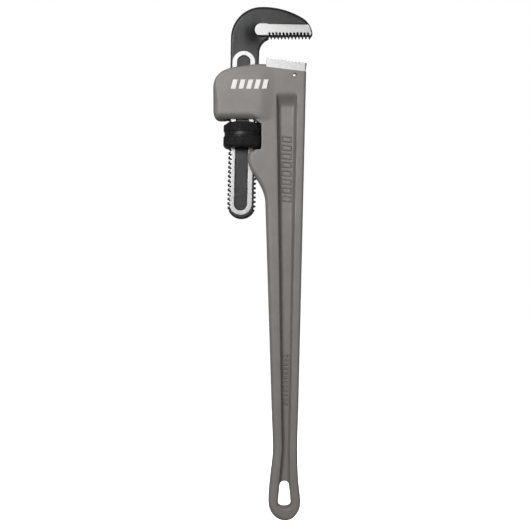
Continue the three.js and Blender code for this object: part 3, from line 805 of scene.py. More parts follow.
@dataclass(frozen=True)
class BlackForging:
    """Drop-forged steel, blackened, with ground flats on the hook and round the groove.

    The ring and the pad are (half width, lower tip, upper tip, height of the face over the
    mid-plane) of round-ended shapes in the jaw's own axes.
    """

    axis: JawAxis
    name: str = "black_forging"
    black: Colour = (0.018, 0.018, 0.019)
    scale_tone: Colour = (0.031, 0.031, 0.031)
    worn: Colour = (0.075, 0.075, 0.076)
    # painted shade: near black mixed into inner corners and round the hook's hollow
    deep: Colour = (0.006, 0.006, 0.006)
    ground: Colour = (0.6, 0.6, 0.595)
    ground_shade: Colour = (0.48, 0.48, 0.48)
    ring: tuple[float, float, float, float] = (18.3, -129.9, 138.4, 9.7)
    ring_shift: float = -1.3
    ring_top: tuple[float, float] = (10.35, 10.6)  # the ring fades out between these faces
    pad: tuple[float, float, float, float] = (10.7, 15.0, 119.0, 12.88)
    pad_height: float = 173.5
    pad_foot: float = 164.3  # lowest bright place over the jaw's axis; the teeth are black
    hollow: tuple[float, float] = (20.5, 158.0)  # middle of the hollow where shade is painted dark
    painted_shade_reach: tuple[float, float] = (6.0, 27.0)  # the painted shade thins out between these radii

    def ground_places(self, bench: NodeBench, own: Socket) -> Socket:
        """Where the steel is ground bright.

        Args:
            bench: The material's node tree.
            own: Coordinates in the jaw's own axes.

        Returns:
            A mask: 1 round the groove and on the hook's pad, 0 elsewhere.
        """
        part = bench.parts(own)
        face = bench.math("ABSOLUTE", part["Y"])

        def flat(at: Vec3, shape: tuple[float, float, float, float], along: str) -> Socket:
            """One round-ended flat, from its own face outwards.

            Args:
                at: Its middle in the jaw's own axes.
                shape: Its sizes, as ring and pad give them.
                along: The axis of its length.

            Returns:
                The mask.
            """
            *outline, level = shape
            mask = bench.stadium_mask(bench.moved(own, at), *outline, along)
            return bench.times(mask, bench.span(face, (level - 0.1) * MM, level * MM))

        low, high = self.ring_top
        ring = bench.times(flat((self.ring_shift, 0, 0), self.ring, "Z"),
                           bench.span(face, low * MM, high * MM, 1.0, 0.0))
        climb = bench.times(part["X"], math.tan(self.axis.lean))
        over_teeth = bench.math("SUBTRACT", part["Z"], climb)
        foot = self.pad_foot * MM
        pad = bench.times(flat((0, 0, self.pad_height), self.pad, "X"),
                          bench.span(over_teeth, foot - 0.2 * MM, foot + 0.2 * MM))
        return bench.math("MAXIMUM", ring, pad)

    def build(self) -> bpy.types.Material:
        """Makes the material: black scale, painted shade in hollows, bright where it is ground.

        Returns:
            The material.
        """
        bench = NodeBench(self.name)
        axis = self.axis
        own = bench.node("ShaderNodeMapping", {
            "Location": (axis.x * MM, 0, axis.z * MM), "Rotation": (0, axis.lean, 0),
            "Vector": bench.object_space}, vector_type="TEXTURE").outputs["Vector"]
        bright = self.ground_places(bench, own)
        cloud = bench.noise(60.0, 4.0, 0.6)
        colour = bench.mix(bench.tone(cloud), self.black, self.scale_tone)
        bend = bench.bend()
        scuff = bench.span(bench.noise(130.0, 5.0, 0.7), 0.42, 0.62)
        edge = bench.times(bench.span(bend, 0.25, 0.6), scuff)
        colour = bench.mix(bench.times(edge, 0.55), colour, self.worn)
        # painted shade: a round spot about the hook's hollow and the inner corners are darkened
        # towards near black
        off = bench.parts(bench.moved(own, (self.hollow[0], 0, self.hollow[1])))
        near, wide = self.painted_shade_reach
        painted_shade_spot = bench.span(bench.far(off["X"], off["Z"]), near * MM, wide * MM, 0.9, 0.0)
        inner = bench.math("MAXIMUM", bench.span(bend, -0.01, -0.12), painted_shade_spot)
        colour = bench.mix(bench.times(inner, 0.92), colour, self.deep)
        lines = bench.noise(1.0, 3.0, 0.6, bench.stretched((2600.0, 60.0, 320.0)))
        shine = bench.mix(bench.tone(lines), self.ground_shade, self.ground)
        colour = bench.mix(bright, colour, shine)
        rough = bench.mix(bright, bench.span(cloud, 0.3, 0.7, 0.36, 0.5),
                          bench.span(lines, 0.3, 0.7, 0.3, 0.42), Mixed.NUMBER)
        metal = bench.mix(bright, 0.3, 0.45, Mixed.NUMBER)
        skin = bench.bump(bench.noise(420.0, 4.0, 0.6), 0.00022, 0.8,
                          bench.bump(bench.noise(85.0, 2.0, 0.5), 0.0006, 0.5))
        scratch = bench.bump(lines, 0.00003, 0.6)
        return bench.finish(colour, rough, metal,
                            bench.mix(bright, skin, scratch, Mixed.NORMAL))


@dataclass(frozen=True)
class GroundSteel:
    """Bright steel with fine grinding lines in one direction."""

    name: str
    colour: Colour = (0.7, 0.7, 0.695)
    shade: Colour = (0.52, 0.52, 0.518)
    lines: Vec3 = (90.0, 900.0, 3000.0)
    roughness: float = 0.34
    metallic: float = 0.45

    def build(self) -> bpy.types.Material:
        """Makes the material.

        Returns:
            The material.
        """
        bench = NodeBench(self.name)
        streak = bench.noise(1.0, 3.0, 0.6, bench.stretched(self.lines))
        blotch = bench.span(bench.noise(140.0, 3.0, 0.6), 0.2, 0.7)
        colour = bench.mix(bench.times(bench.tone(streak), blotch), self.shade, self.colour)
        rough = bench.span(streak, 0.3, 0.7, self.roughness, self.roughness + 0.14)
        return bench.finish(colour, rough, self.metallic, bench.bump(streak, 0.00004, 0.7))


@dataclass(frozen=True)
class BlackOxide:
    """Blackened machined steel, rubbed a little on its high places."""

    name: str
    colour: Colour = (0.012, 0.012, 0.013)
    light: Colour = (0.024, 0.024, 0.025)
    rubbed: Colour = (0.09, 0.09, 0.092)
    roughness: float = 0.4

    def build(self) -> bpy.types.Material:
        """Makes the material.

        Returns:
            The material.
        """
        bench = NodeBench(self.name)
        cloud = bench.noise(180.0, 4.0, 0.65)
        colour = bench.mix(bench.tone(cloud), self.colour, self.light)
        scuff = bench.span(bench.noise(260.0, 4.0, 0.7), 0.45, 0.62)
        edge = bench.times(bench.span(bench.bend(), 0.2, 0.7), scuff)
        colour = bench.mix(bench.times(edge, 0.6), colour, self.rubbed)
        rough = bench.span(cloud, 0.3, 0.7, self.roughness - 0.06, self.roughness + 0.1)
        normal = bench.bump(bench.noise(900.0, 3.0, 0.6), 0.00004, 0.4)
        return bench.finish(colour, rough, 0.5, normal)


@dataclass(frozen=True)
class MarkPaint:
    """Chalky white paint rolled on the raised mark, thin in places."""

    name: str = "mark_white"
    white: Colour = (0.93, 0.93, 0.92)
    thin: Colour = (0.8, 0.79, 0.78)

    def build(self) -> bpy.types.Material:
        """Makes the material.

        Returns:
            The material.
        """
        bench = NodeBench(self.name)
        patch = bench.span(bench.noise(300.0, 4.0, 0.7), 0.5, 0.75)
        colour = bench.mix(patch, self.white, self.thin)
        normal = bench.bump(bench.noise(700.0, 3.0, 0.6), 0.00012, 0.8)
        return bench.finish(colour, bench.span(patch, 0, 1, 0.5, 0.65), 0.0, normal, 0.4)


# ---------------------------------------------------------------------------- geometry nodes


class NodeRecipe:
    """A geometry-node tree with named inputs, run once and kept as a plain mesh."""

    def __init__(self, name: str, takes_mesh: bool = False) -> None:
        """Starts a tree.

        Args:
            name: Name of the tree.
            takes_mesh: True if the tree works on the mesh that it is put on.
        """
        self.tree = bpy.data.node_groups.new(name, "GeometryNodeTree")
        for way in ("INPUT", "OUTPUT") if takes_mesh else ("OUTPUT",):
            self.tree.interface.new_socket("Geometry", in_out=way,
                                           socket_type="NodeSocketGeometry")
        self.inputs = self.node("NodeGroupInput")
        self.values: dict[str, object] = {}

    def size(self, name: str, value: float | int) -> Socket:
        """Adds a named input.

        Args:
            name: Its name.
            value: Its value in this build.

        Returns:
            The socket inside the tree.
        """
        kind = "NodeSocketInt" if isinstance(value, int) else "NodeSocketFloat"
        made = self.tree.interface.new_socket(name, in_out="INPUT", socket_type=kind)
        self.values[made.identifier] = value
        return self.inputs.outputs[name]

    def node(self, kind: str, links: Optional[dict] = None, **settings: object) -> bpy.types.Node:
        """Adds a node to the tree."""
        return add_node(self.tree, kind, links, **settings)

    def math(self, kind: str, a: Value, b: Value = 0.0) -> Socket:
        """One step of arithmetic."""
        return self.node("ShaderNodeMath", {0: a, 1: b}, operation=kind).outputs[0]

    def copies(self, count: Socket, place: dict[str, Value], shape: Socket,
               turn: Optional[dict[str, Value]] = None) -> Socket:
        """Copies of a shape at places that follow from each copy's number.

        Args:
            count: How many.
            place: X, Y and Z of the places, 0 where left out.
            shape: What is copied.
            turn: Angles about X, Y and Z, 0 where left out.

        Returns:
            The copies, as instances.
        """
        line = self.node("GeometryNodeMeshLine", {"Count": count})
        moved = self.node("GeometryNodeSetPosition", {
            "Geometry": line.outputs[0],
            "Position": self.node("ShaderNodeCombineXYZ", place).outputs[0]})
        links = {"Points": moved.outputs[0], "Instance": shape}
        if turn is not None:
            links["Rotation"] = self.node("ShaderNodeCombineXYZ", turn).outputs[0]
        return self.node("GeometryNodeInstanceOnPoints", links).outputs[0]

    def close(self, geometry: Socket, material: bpy.types.Material,
              join: Optional[Socket] = None) -> None:
        """Ends the tree.

        Args:
            geometry: What was made.
            material: Its material.
            join: Other geometry that it is joined to.
        """
        last = self.node("GeometryNodeRealizeInstances", {"Geometry": geometry}).outputs[0]
        if join is not None:
            both = self.node("GeometryNodeJoinGeometry")
            self.tree.links.new(last, both.inputs[0])
            self.tree.links.new(join, both.inputs[0])
            last = both.outputs[0]
        dressed = self.node("GeometryNodeSetMaterial", {"Geometry": last, "Material": material})
        self.node("NodeGroupOutput", {0: dressed.outputs[0]})

    def run(self, name: str, source: Optional[bpy.types.Object] = None) -> bpy.types.Object:
        """Runs the tree and keeps the result.

        Args:
            name: Name of the finished piece.
            source: Object whose mesh the tree takes; it is removed afterwards.

        Returns:
            The piece, a plain mesh.
        """
        if source is None:
            source = in_scene(name + "_recipe", bpy.data.meshes.new(name + "_recipe"))
        modifier = source.modifiers.new(self.tree.name, "NODES")
        modifier.node_group = self.tree
        for identifier, value in self.values.items():
            modifier[identifier] = value
        graph = bpy.context.evaluated_depsgraph_get()
        data = bpy.data.meshes.new_from_object(source.evaluated_get(graph), depsgraph=graph)
        data.name = name
        bpy.data.objects.remove(source)
        return in_scene(name, data)


# ------------------------------------------------------------------------------- the casting


@dataclass
class HandleCasting:
    """The aluminium handle: I-beam, forked lug, housing, heel seat and hanging hole."""

    axis: JawAxis
    paint: CastPaint = field(default_factory=CastPaint)
    grip_half: float = 20.0
    grip_half_thickness: float = 13.5
    grip_length: float = 100.0
    head_half_thickness: float = 17.0
    left_flare: float = 0.0309
    right_flare: float = 0.0233
    web_half: float = 3.5
    left_flange: tuple[float, float] = (14.5, 24.0)  # at the grip and at the pocket's top
    right_flange: tuple[float, float] = (12.0, 14.0)
    pocket_above: float = 72.0
    pocket_corner: float = 8.0
    pocket_ramp: float = 25.0
    pocket_draft: float = 0.3
    edge_left: float = 8.0
    edge_right: float = 4.0
    butt_offset: float = -1.25
    butt_half: float = 26.2
    butt_half_thickness: float = 12.5
    butt_below: float = 86.5
    butt_rise: float = 31.0
    hole_top: float = -54.0
    hole_bottom: float = -95.2
    hole_top_half: float = 7.8
    hole_bottom_half: float = 10.2
    hole_draft: float = 0.16
    window_top: float = 25.2
    window_bottom: float = 23.3
    window_radius: float = 34.4
    window_cone: float = 25.0  # past this radius the window's roof slopes like the nut's cone
    housing_height: float = 91.1
    housing_half: float = 19.9
    housing_top_half: float = 17.4
    housing_edges: tuple[float, float] = (12.5, 3.6)  # rounding at its foot and at its top
    housing_corner: tuple[float, float] = (34.0, 15.0)  # top and bottom
    housing_fall: float = 6.0
    left_wall: float = 20.5
    slot: tuple[float, float] = (-28.0, 28.5)
    slot_half: float = 11.0
    shank_below: float = 136.5
    leaf_seat: tuple[float, float, float, float] = (4.9, 8.6, 53.0, 100.5)  # deep, half, ends
    rivet_bore: tuple[float, float] = (66.0, 3.3)  # height and radius
    rivet_sink: tuple[float, float] = (5.7, 2.9)  # radius and depth
    coil_bore: Vec3 = (88.0, 7.3, 18.6)  # height, radius and depth
    lug_tip: float = 7.6
    lug_height: float = 15.0
    lug_length: float = 89.0
    heel_slope: float = math.radians(7.1)
    heel_left: float = -30.75
    heel_seat: float = 626.0
    ridge_width: float = 7.3  # of the ridge to the left of the heel jaw
    inner_reach: float = 16.0  # the beam's outline in the window, past the nut's axis
    over_seat: float = 14.0  # the beam's outline runs on this far over the heel's seat
    tongue: tuple[float, float, float] = (-1.2, 31.4, 5.3)  # left, right, half thickness
    tongue_floor: float = 591.0
    pin: tuple[float, float, float] = (16.0, 611.58, 3.6)

    def left(self, z: float) -> float:
        """Left edge of the beam at a height."""
        return -self.grip_half - self.left_flare * z

    def right(self, z: float) -> float:
        """Right edge of the beam at a height."""
        return self.grip_half + self.right_flare * z

    def beam_outline(self) -> Outline:
        """The casting from the front, without its housing.

        Returns:
            The outline.
        """
        nut_x, nut_z = self.axis.x, self.axis.z
        low = -self.butt_below
        middle = self.butt_offset
        top = nut_z + self.window_top + self.housing_height
        lug_top = nut_z - self.window_bottom
        tip = nut_x + self.lug_tip
        foot = lug_top - self.lug_length
        height = self.lug_height
        inner = nut_x + self.inner_reach
        high = top + self.over_seat
        return (
            Outline(middle, low - self.butt_rise)
            .arc((middle, low), (self.butt_half, self.butt_rise), -math.pi / 2, 0)
            .curve((middle + self.butt_half, low * 0.83), (self.grip_half, low * 0.7),
                   (self.grip_half, 0))
            .line((self.right(high), high), (self.heel_left + 5, high), (self.heel_left + 5, top),
                  (self.heel_left - self.ridge_width, top), (nut_x, top - 30), (nut_x, nut_z),
                  (inner, nut_z), (inner, lug_top))
            .curve((tip, lug_top - 2), (tip, lug_top - height))
            .curve((tip + 0.9, lug_top - height * 2),
                   (tip + height * 0.61, lug_top - self.lug_length * 0.45))
            .curve((tip + height * 1.29, lug_top - self.lug_length * 0.6),
                   (self.left(foot), lug_top - self.lug_length * 0.77), (self.left(foot), foot))
            .line((-self.grip_half, 0))
            .curve((-self.grip_half - 0.5, low * 0.29), (middle - self.butt_half, low * 0.64),
                   (middle - self.butt_half, low))
            .arc((middle, low), (self.butt_half, self.butt_rise), math.pi, 1.5 * math.pi))

    def housing_outline(self) -> Outline:
        """The housing round the hook jaw's shank, from the front.

        Returns:
            The outline.
        """
        left = self.axis.x + self.slot[0] - self.left_wall
        bottom = self.axis.z + self.window_top
        top = bottom + self.housing_height
        corner, low_corner = self.housing_corner
        shoulder = top - self.housing_fall
        ridge = self.heel_left - self.ridge_width
        return (
            Outline(self.heel_left + 12, bottom)
            .line((left + low_corner, bottom))
            .curve((left, bottom), (left, bottom + low_corner))
            .line((left, shoulder - corner))
            .curve((left, shoulder - corner * 0.44), (left + corner * 0.32, shoulder - 3.5),
                   (left + corner, shoulder + 1))
            .line((ridge - 18, top - 1))
            .curve((ridge - 9, top), (ridge, top))
            .line((self.heel_left + 12, top)))

    def pocket_outline(self) -> Outline:
        """The I-beam's pocket at the flanges' faces.

        Returns:
            The outline.
        """
        top = self.axis.z + self.pocket_above
        corner = self.pocket_corner
        left = self.left(top) + self.left_flange[1]
        right = self.right(top) - self.right_flange[1]
        middle, neck = self.butt_offset, self.hole_top - 8
        wide = self.hole_top_half + 1.6
        return (
            Outline(left, top - corner)
            .curve((left, top), (left + corner, top))
            .line((right - corner, top))
            .curve((right, top), (right, top - corner))
            .line((self.grip_half - self.right_flange[0], 0), (middle + wide, neck))
            .line((middle - wide, neck), (-self.grip_half + self.left_flange[0], 0)))

    def hole_outline(self) -> Outline:
        """The hanging hole at the mid-plane.

        Returns:
            The outline.
        """
        middle, top, low = self.butt_offset, self.hole_top, self.hole_bottom
        high, wide = self.hole_top_half, self.hole_bottom_half
        return (
            Outline(middle - high, top - 8)
            .curve((middle - high + 0.8, top), (middle, top))
            .curve((middle + high - 0.8, top), (middle + high, top - 8))
            .line((middle + wide, low + 8))
            .curve((middle + wide, low), (middle, low))
            .curve((middle - wide, low), (middle - wide, low + 8)))

    def solid(self) -> Field:
        """The finished casting as a distance field.

        Returns:
            The field.
        """
        beam, shell = self.beam_outline(), self.housing_outline()
        pocket, hole = self.pocket_outline(), self.hole_outline()
        axis = self.axis
        nut_x, nut_z = axis.x, axis.z
        bottom = nut_z + self.window_top
        pocket_top = nut_z + self.pocket_above
        thick_at = [-self.butt_below, 0, self.grip_length, nut_z - self.window_bottom - 44.5]
        thick = [self.butt_half_thickness, self.grip_half_thickness, self.grip_half_thickness,
                 self.head_half_thickness]
        slope_cos = math.cos(self.heel_slope)
        slope_tan = math.tan(self.heel_slope)
        wall, wall_right = self.slot
        outside = wall - self.left_wall
        leaf_deep, leaf_half, *leaf_span = self.leaf_seat
        rivet_z, rivet_radius = self.rivet_bore
        sink_radius, sink_deep = self.rivet_sink
        coil_z, coil_radius, coil_deep = self.coil_bore
        tongue_left, tongue_right, tongue_half = self.tongue
        pin_x, pin_z, pin_radius = self.pin

        def distance(x: Array, y: Array, z: Array) -> Array:
            """Signed distance to the casting.

            Args:
                x: X of the points.
                y: Y of the points.
                z: Z of the points.

            Returns:
                The distances, negative inside.
            """
            away = np.abs(y)
            half = np.interp(z, thick_at, thick)
            centre = (self.right_flare - self.left_flare) * z / 2
            edge = np.interp(x - centre, [-10, 10], [self.edge_left, self.edge_right])
            swell = np.interp(z, [bottom, bottom + 34, bottom + self.housing_height],
                              [self.housing_half, self.housing_half, self.housing_top_half])
            round_off = np.interp(z, [bottom + 30, bottom + self.housing_height - 20],
                                  self.housing_edges)
            share = 1 - ramp(x, self.heel_left - 12, self.heel_left + 16)
            share = share * ramp(z, bottom - 4, bottom + 10)
            level = half + (swell - half) * share
            edge = edge + (round_off - edge) * share
            outline = np.minimum(beam.distance(x, z), shell.distance(x, z))
            body = rounded_and(outline, away - level, edge)
            foot_edge = self.housing_edges[0] * (1 - ramp(x, nut_x + 12, nut_x + 34))
            foot = rounded_and(bottom - z, away - level, foot_edge)
            over_window = (z > bottom - 0.2) & (x < nut_x + self.window_radius)
            body = np.maximum(body, np.where(over_window, foot, -50.0))
            draft = pocket.distance(x, z) + self.pocket_draft * (half - away)
            run_in = ramp(z, pocket_top - self.pocket_ramp, pocket_top)
            floor = self.web_half + (self.head_half_thickness + 1 - self.web_half) * run_in
            body = rounded_cut(body, rounded_and(draft, floor - away, 3.0), 1.6)
            through = hole.distance(x, z) - self.hole_draft * away
            body = rounded_cut(body, through, 2.2)
            above_seat = (self.heel_seat - (x - self.heel_left) * slope_tan - z) * slope_cos
            body = rounded_cut(body, np.maximum(above_seat, self.heel_left - GAP - x), 0.7)
            across = np.hypot(x - nut_x, y)
            roof = (z - bottom + 0.75 * np.maximum(across - self.window_cone, 0)) * 0.8
            window = common(across - self.window_radius, roof, nut_z - self.window_bottom - z)
            body = rounded_cut(body, window, 1.6)
            own_x, own_z = axis.local(x, z)
            passage = common(slab(own_x, wall, wall_right), away - self.slot_half,
                             -self.shank_below - own_z)
            body = rounded_cut(body, passage, 1.0)
            leaf = common(slab(own_x, wall - leaf_deep, wall + 1), away - leaf_half,
                          slab(own_z, *leaf_span))
            bore = common(np.hypot(y, own_z - rivet_z) - rivet_radius, own_x - wall)
            sink = common(np.hypot(y, own_z - rivet_z) - sink_radius, own_x - outside - sink_deep)
            coil = common(np.hypot(y, own_z - coil_z) - coil_radius,
                          slab(own_x, wall_right - 1, wall_right + coil_deep))
            tongue = common(slab(x, tongue_left, tongue_right), away - tongue_half,
                            self.tongue_floor - z)
            body = common(body, -leaf, -bore, -sink, -coil, -tongue)
            return rounded_cut(body, np.hypot(x - pin_x, z - pin_z) - pin_radius, 0.5)

        return distance

    def build(self) -> bpy.types.Object:
        """Makes the casting.

        Returns:
            The casting.
        """
        fine, coarse = 1.32, 4.2
        net = SurfaceNet(
            self.solid(),
            grid_lines((-121.1, fine), (38.0, 0)),
            grid_lines((-21.9, fine), (21.9, 0)),
            grid_lines((-120.9, fine), (-40.0, coarse), (388.0, fine), (634.0, 0)))
        piece = mesh_object("handle_casting", *net.mesh())
        write_bend(piece)
        piece.data.materials.append(self.paint.build())
        return piece


# ------------------------------------------------------------------------------ the hook jaw


@dataclass
class HookForging:
    """The forged hook jaw: toothed hook, ground pad, flat-sided shank and thread."""

    axis: JawAxis
    crest: float = 23.5
    root: float = 20.0
    pitch: float = 7.5
    crest_half: float = 1.2375  # half the flat on top of the thread
    flank_run: float = 1.5
    crest_centre: float = 0.635  # place of the crest in a turn, from 0 to 1
    thread_top: float = 72.0
    shank_half: float = 10.0
    shank_below: float = 136.5
    neck_low: float = 141.0  # the hook's faces leave the shank's from here up
    hook_half: float = 12.4
    hook_edge: float = 6.0
    throat_edge: float = 1.8
    pad_half: float = 13.0
    line: float = 163.62  # tooth line at the throat
    reach: float = 110.52
    throat_radius: float = 24.0
    corner_radius: float = 51.0
    corner_drop: float = 2.4
    back_radius: float = 125.4
    nose_radius: float = 34.0
    nose_rise: float = 2.6
    tip_chamfer: float = 4.0
    tooth_pitch: float = 5.74
    tooth_depth: float = 3.6
    groove_half: float = 11.0
    groove: tuple[float, float] = (-123.2, 132.0)
    groove_depth: float = 2.0
    groove_shift: float = -1.3  # the groove and its ground rim sit a little outwards
    ring: tuple[float, float, float] = (18.5, -145.0, 138.6)
    pad: tuple[float, float, float] = (10.2, 15.6, 118.0)  # half height, left and right ends
    pad_height: float = 173.5
    pad_inset: float = 2.4  # from the nose's outline
    hollow: tuple[float, float, float, float] = (21.5, 167.0, 9.5, 3.8)  # x, z, size, depth
    shank_top: float = 146.5  # hidden in the hook

    @property
    def throat_x(self) -> float:
        """Where the throat meets the tooth line."""
        return self.crest + self.throat_radius

    def tooth_line(self, x: float | Array) -> float | Array:
        """Height of the tooth tips, level in the casting's frame."""
        return self.line + math.tan(self.axis.lean) * (x - self.throat_x)

    def hook_outline(self) -> Outline:
        """The hook from the front, with its teeth.

        Returns:
            The outline.
        """
        half = self.crest
        corner = np.array([self.corner_radius - half, self.line - self.corner_drop])
        nose = np.array([self.reach - self.nose_radius, self.line + self.nose_rise])
        first, second = self.back_radius - self.corner_radius, self.back_radius - self.nose_radius
        way = nose - corner
        distance = float(np.hypot(*way))
        run = (distance ** 2 + first ** 2 - second ** 2) / (2 * distance)
        drop = math.sqrt(first ** 2 - run ** 2)
        way /= distance
        back = corner + way * run + np.array([way[1], -way[0]]) * drop
        corner_end = math.atan2(*(corner - back)[::-1])
        nose_start = math.atan2(*(nose - back)[::-1])
        tip = self.reach - self.tip_chamfer
        count = math.floor((tip - self.throat_x + self.tooth_pitch * 2) / self.tooth_pitch)
        outline = (
            Outline(-half, 90.0)
            .line((-half, float(corner[1])))
            .arc(tuple(corner), (self.corner_radius,) * 2, math.pi, corner_end, 30)
            .arc(tuple(back), (self.back_radius,) * 2, corner_end, nose_start, 20)
            .arc(tuple(nose), (self.nose_radius,) * 2, nose_start, math.radians(5), 20))
        for tooth in range(count):
            right = tip - tooth * self.tooth_pitch
            left = right - self.tooth_pitch
            outline.line(
                (right - 0.15, float(self.tooth_line(right))),
                (left + self.tooth_pitch * 0.36, float(self.tooth_line(left)) + self.tooth_depth))
        last = tip - count * self.tooth_pitch
        throat_z = self.line - self.throat_radius
        start = math.acos(max(-1.0, min(1.0, (last - self.throat_x) / self.throat_radius)))
        start = max(start, math.radians(88))
        outline.arc((self.throat_x, throat_z), (self.throat_radius,) * 2, start, math.pi, 22)
        outline.line((half, 90.0))
        return outline

    def thread(self, x: Array, y: Array, z: Array) -> Array:
        """Distance to the threaded round bar.

        Args:
            x: X of the points.
            y: Y of the points.
            z: Z of the points.

        Returns:
            The distances, negative inside.
        """
        radius = np.hypot(x, y)
        turn = z / self.pitch - np.arctan2(y, x) / (2 * math.pi) - self.crest_centre
        along = np.abs(turn - np.round(turn)) * self.pitch
        depth = self.crest - self.root
        lean = self.flank_run / depth
        flank = (along - self.crest_half - (self.crest - radius) * lean) / math.hypot(1, lean)
        ridge = np.maximum(radius - self.crest, flank)
        ridge = np.where(z < self.thread_top, ridge, radius - self.crest)
        return np.minimum(radius - self.root, ridge)

    def solid(self) -> Field:
        """The finished forging in the jaw's own axes.

        Returns:
            The field.
        """
        hook = self.hook_outline()
        low = -self.shank_below + self.crest
        shank = (
            Outline(-self.crest - 1, self.shank_top)
            .line((-self.crest - 1, low))
            .arc((0, low), (self.crest,) * 2, math.pi, 2 * math.pi, 32)
            .line((self.crest + 1, low), (self.crest + 1, self.shank_top)))
        hollow_x, hollow_z, hollow_size, hollow_depth = self.hollow

        def distance(x: Array, y: Array, z: Array) -> Array:
            """Signed distance to the forging.

            Args:
                x: X of the points.
                y: Y of the points.
                z: Z of the points.

            Returns:
                The distances, negative inside.
            """
            away = np.abs(y)
            stem = rounded_and(shank.distance(x, z), away - self.shank_half, 2.6)
            stem = rounded_and(stem, self.thread(x, y, z), 0.35)
            spot = ((x - hollow_x) ** 2 + (z - hollow_z) ** 2) / (2 * hollow_size ** 2)
            swell = self.hook_half - hollow_depth * np.exp(-spot)
            thin = self.hook_half - self.shank_half + 0.15
            swell = swell - thin * (1 - ramp(z, self.neck_low, self.neck_low + 45))
            from_throat = np.hypot(x - self.throat_x, z - self.line + self.throat_radius)
            edge = np.interp(z, [150, 178], [2.6, self.hook_edge]) - self.throat_edge
            edge = self.throat_edge + edge * np.interp(from_throat, [26, 40], [0, 1])
            hook_body = rounded_and(hook.distance(x, z), away - swell, edge)
            hook_body = np.maximum(hook_body, self.neck_low - 8 - z)
            body = np.minimum(stem, hook_body)
            flat = stadium(x - self.groove_shift, z, *self.ring)
            body = common(body, -common(flat, self.shank_half - away))
            plate = stadium(z - self.pad_height, x, *self.pad)
            plate = np.maximum(plate, away - self.pad_half)
            inset = np.interp(z - self.tooth_line(x), [1.5, 5.0], [0, self.pad_inset])
            plate = np.maximum(plate, hook.distance(x, z) + inset)
            body = np.minimum(body, plate)
            groove = stadium(x - self.groove_shift, z, self.groove_half, *self.groove)
            floor = self.shank_half - self.groove_depth - away
            return rounded_cut(body, rounded_and(groove, floor, 0.8), 0.3)

        return distance

    def build(self) -> bpy.types.Object:
        """Makes the forging.

        Returns:
            The forging.
        """
        net = SurfaceNet(
            self.solid(),
            grid_lines((-25.3, 1.05), (26.0, 0.95), (112.6, 0)),
            grid_lines((-14.2, 0.98), (14.2, 0)),
            grid_lines((-138.3, 1.12), (96.0, 0.95), (214.5, 0)))
        piece = mesh_object("hook_jaw_forging", *net.mesh())
        self.axis.seat(piece)
        write_bend(piece, 2)
        piece.data.materials.append(BlackForging(axis=self.axis).build())
        return piece


# --------------------------------------------------------------------- heel jaw and its pin


@dataclass
class HeelJaw:
    """The replaceable lower jaw and the pin that holds it."""

    left: float = -30.75
    right: float = 35.6
    seat: float = 626.0
    slope: float = math.radians(7.1)
    height: float = 15.0
    half: float = 13.0
    chamfer: float = 3.0
    tooth_pitch: float = 5.74
    tooth_depth: float = 2.1
    tongue: tuple[float, float, float, float] = (-0.9, 31.1, 5.0, 598.2)
    pin: tuple[float, float] = (16.0, 611.58)
    pin_radius: float = 3.3
    pin_half: float = 16.6

    def outline(self) -> Outline:
        """The block from the front, with its teeth.

        Returns:
            The outline.
        """
        cos, sin = math.cos(self.slope), math.sin(self.slope)
        length = (self.right - self.left) / cos

        def at(along: float, up: float) -> Point:
            """A point at a distance along the seat and over it."""
            base = self.seat + GAP
            return (self.left + along * cos + up * sin, base - along * sin + up * cos)

        count = math.floor(length / self.tooth_pitch)
        outline = Outline(self.left, self.seat + GAP)
        outline.line(at(length - 2.2, 0), (self.right, at(length - 1.9, self.height * 0.96)[1]))
        top = self.height * cos
        for tooth in reversed(range(count)):
            start = tooth * self.tooth_pitch
            outline.line(at(start + self.tooth_pitch * 0.92, top))
            outline.line(at(start + self.tooth_pitch * 0.8, top - self.tooth_depth))
            outline.line(at(start, top))
        return outline.line((self.left, self.seat + GAP + self.height * 0.97))

    def solid(self) -> Field:
        """The finished block with its tongue.

        Returns:
            The field.
        """
        block = self.outline()
        tongue_left, tongue_right, tongue_half, tongue_low = self.tongue
        pin_x, pin_z = self.pin

        def distance(x: Array, y: Array, z: Array) -> Array:
            """Signed distance to the heel jaw.

            Args:
                x: X of the points.
                y: Y of the points.
                z: Z of the points.

            Returns:
                The distances, negative inside.
            """
            away = np.abs(y)
            body = rounded_and(block.distance(x, z), away - self.half, 0.35)
            corner = (x - self.right + away - self.half + self.chamfer) / math.sqrt(2)
            tongue = common(slab(x, tongue_left, tongue_right), away - tongue_half,
                            slab(z, tongue_low, self.seat - 2))
            body = np.minimum(common(body, corner), tongue)
            return common(body, self.pin_radius + GAP - np.hypot(x - pin_x, z - pin_z))

        return distance

    def build(self) -> bpy.types.Object:
        """Makes the heel jaw.

        Returns:
            The heel jaw.
        """
        net = SurfaceNet(self.solid(), grid_lines((-32.2, 0.66), (37.2, 0)),
                         grid_lines((-14.3, 0.75), (14.3, 0)),
                         grid_lines((597.0, 0.66), (643.5, 0)))
        piece = mesh_object("heel_jaw_block", *net.mesh(), 25.0)
        piece.data.materials.append(GroundSteel("heel_jaw_ground").build())
        return piece

    def build_pin(self) -> bpy.types.Object:
        """Makes the pin, slightly domed at both ends.

        Returns:
            The pin.
        """
        radius, half = self.pin_radius, self.pin_half
        profile = [(0, -half + 0.1), (radius * 0.5, -half), (radius * 0.72, -half + 0.2),
                   (radius * 0.9, -half + 0.6), (radius, -half + 1.2), (radius, half - 1.2),
                   (radius * 0.9, half - 0.6), (radius * 0.72, half - 0.2),
                   (radius * 0.5, half), (0, half - 0.1)]
        piece = turned_piece("heel_jaw_cross_pin", profile, 40, 40)
        quarter = np.array([[1, 0, 0], [0, 0, -1], [0, 1, 0]])
        place_mesh(piece, quarter, (self.pin[0], 0, self.pin[1]))
        finish = GroundSteel("pin_bright", (0.82, 0.82, 0.81), (0.6, 0.6, 0.6),
                             (400.0, 60.0, 400.0), 0.22, 0.9)
        piece.data.materials.append(finish.build())
        return piece


# ---------------------------------------------------------------------------- adjusting nut


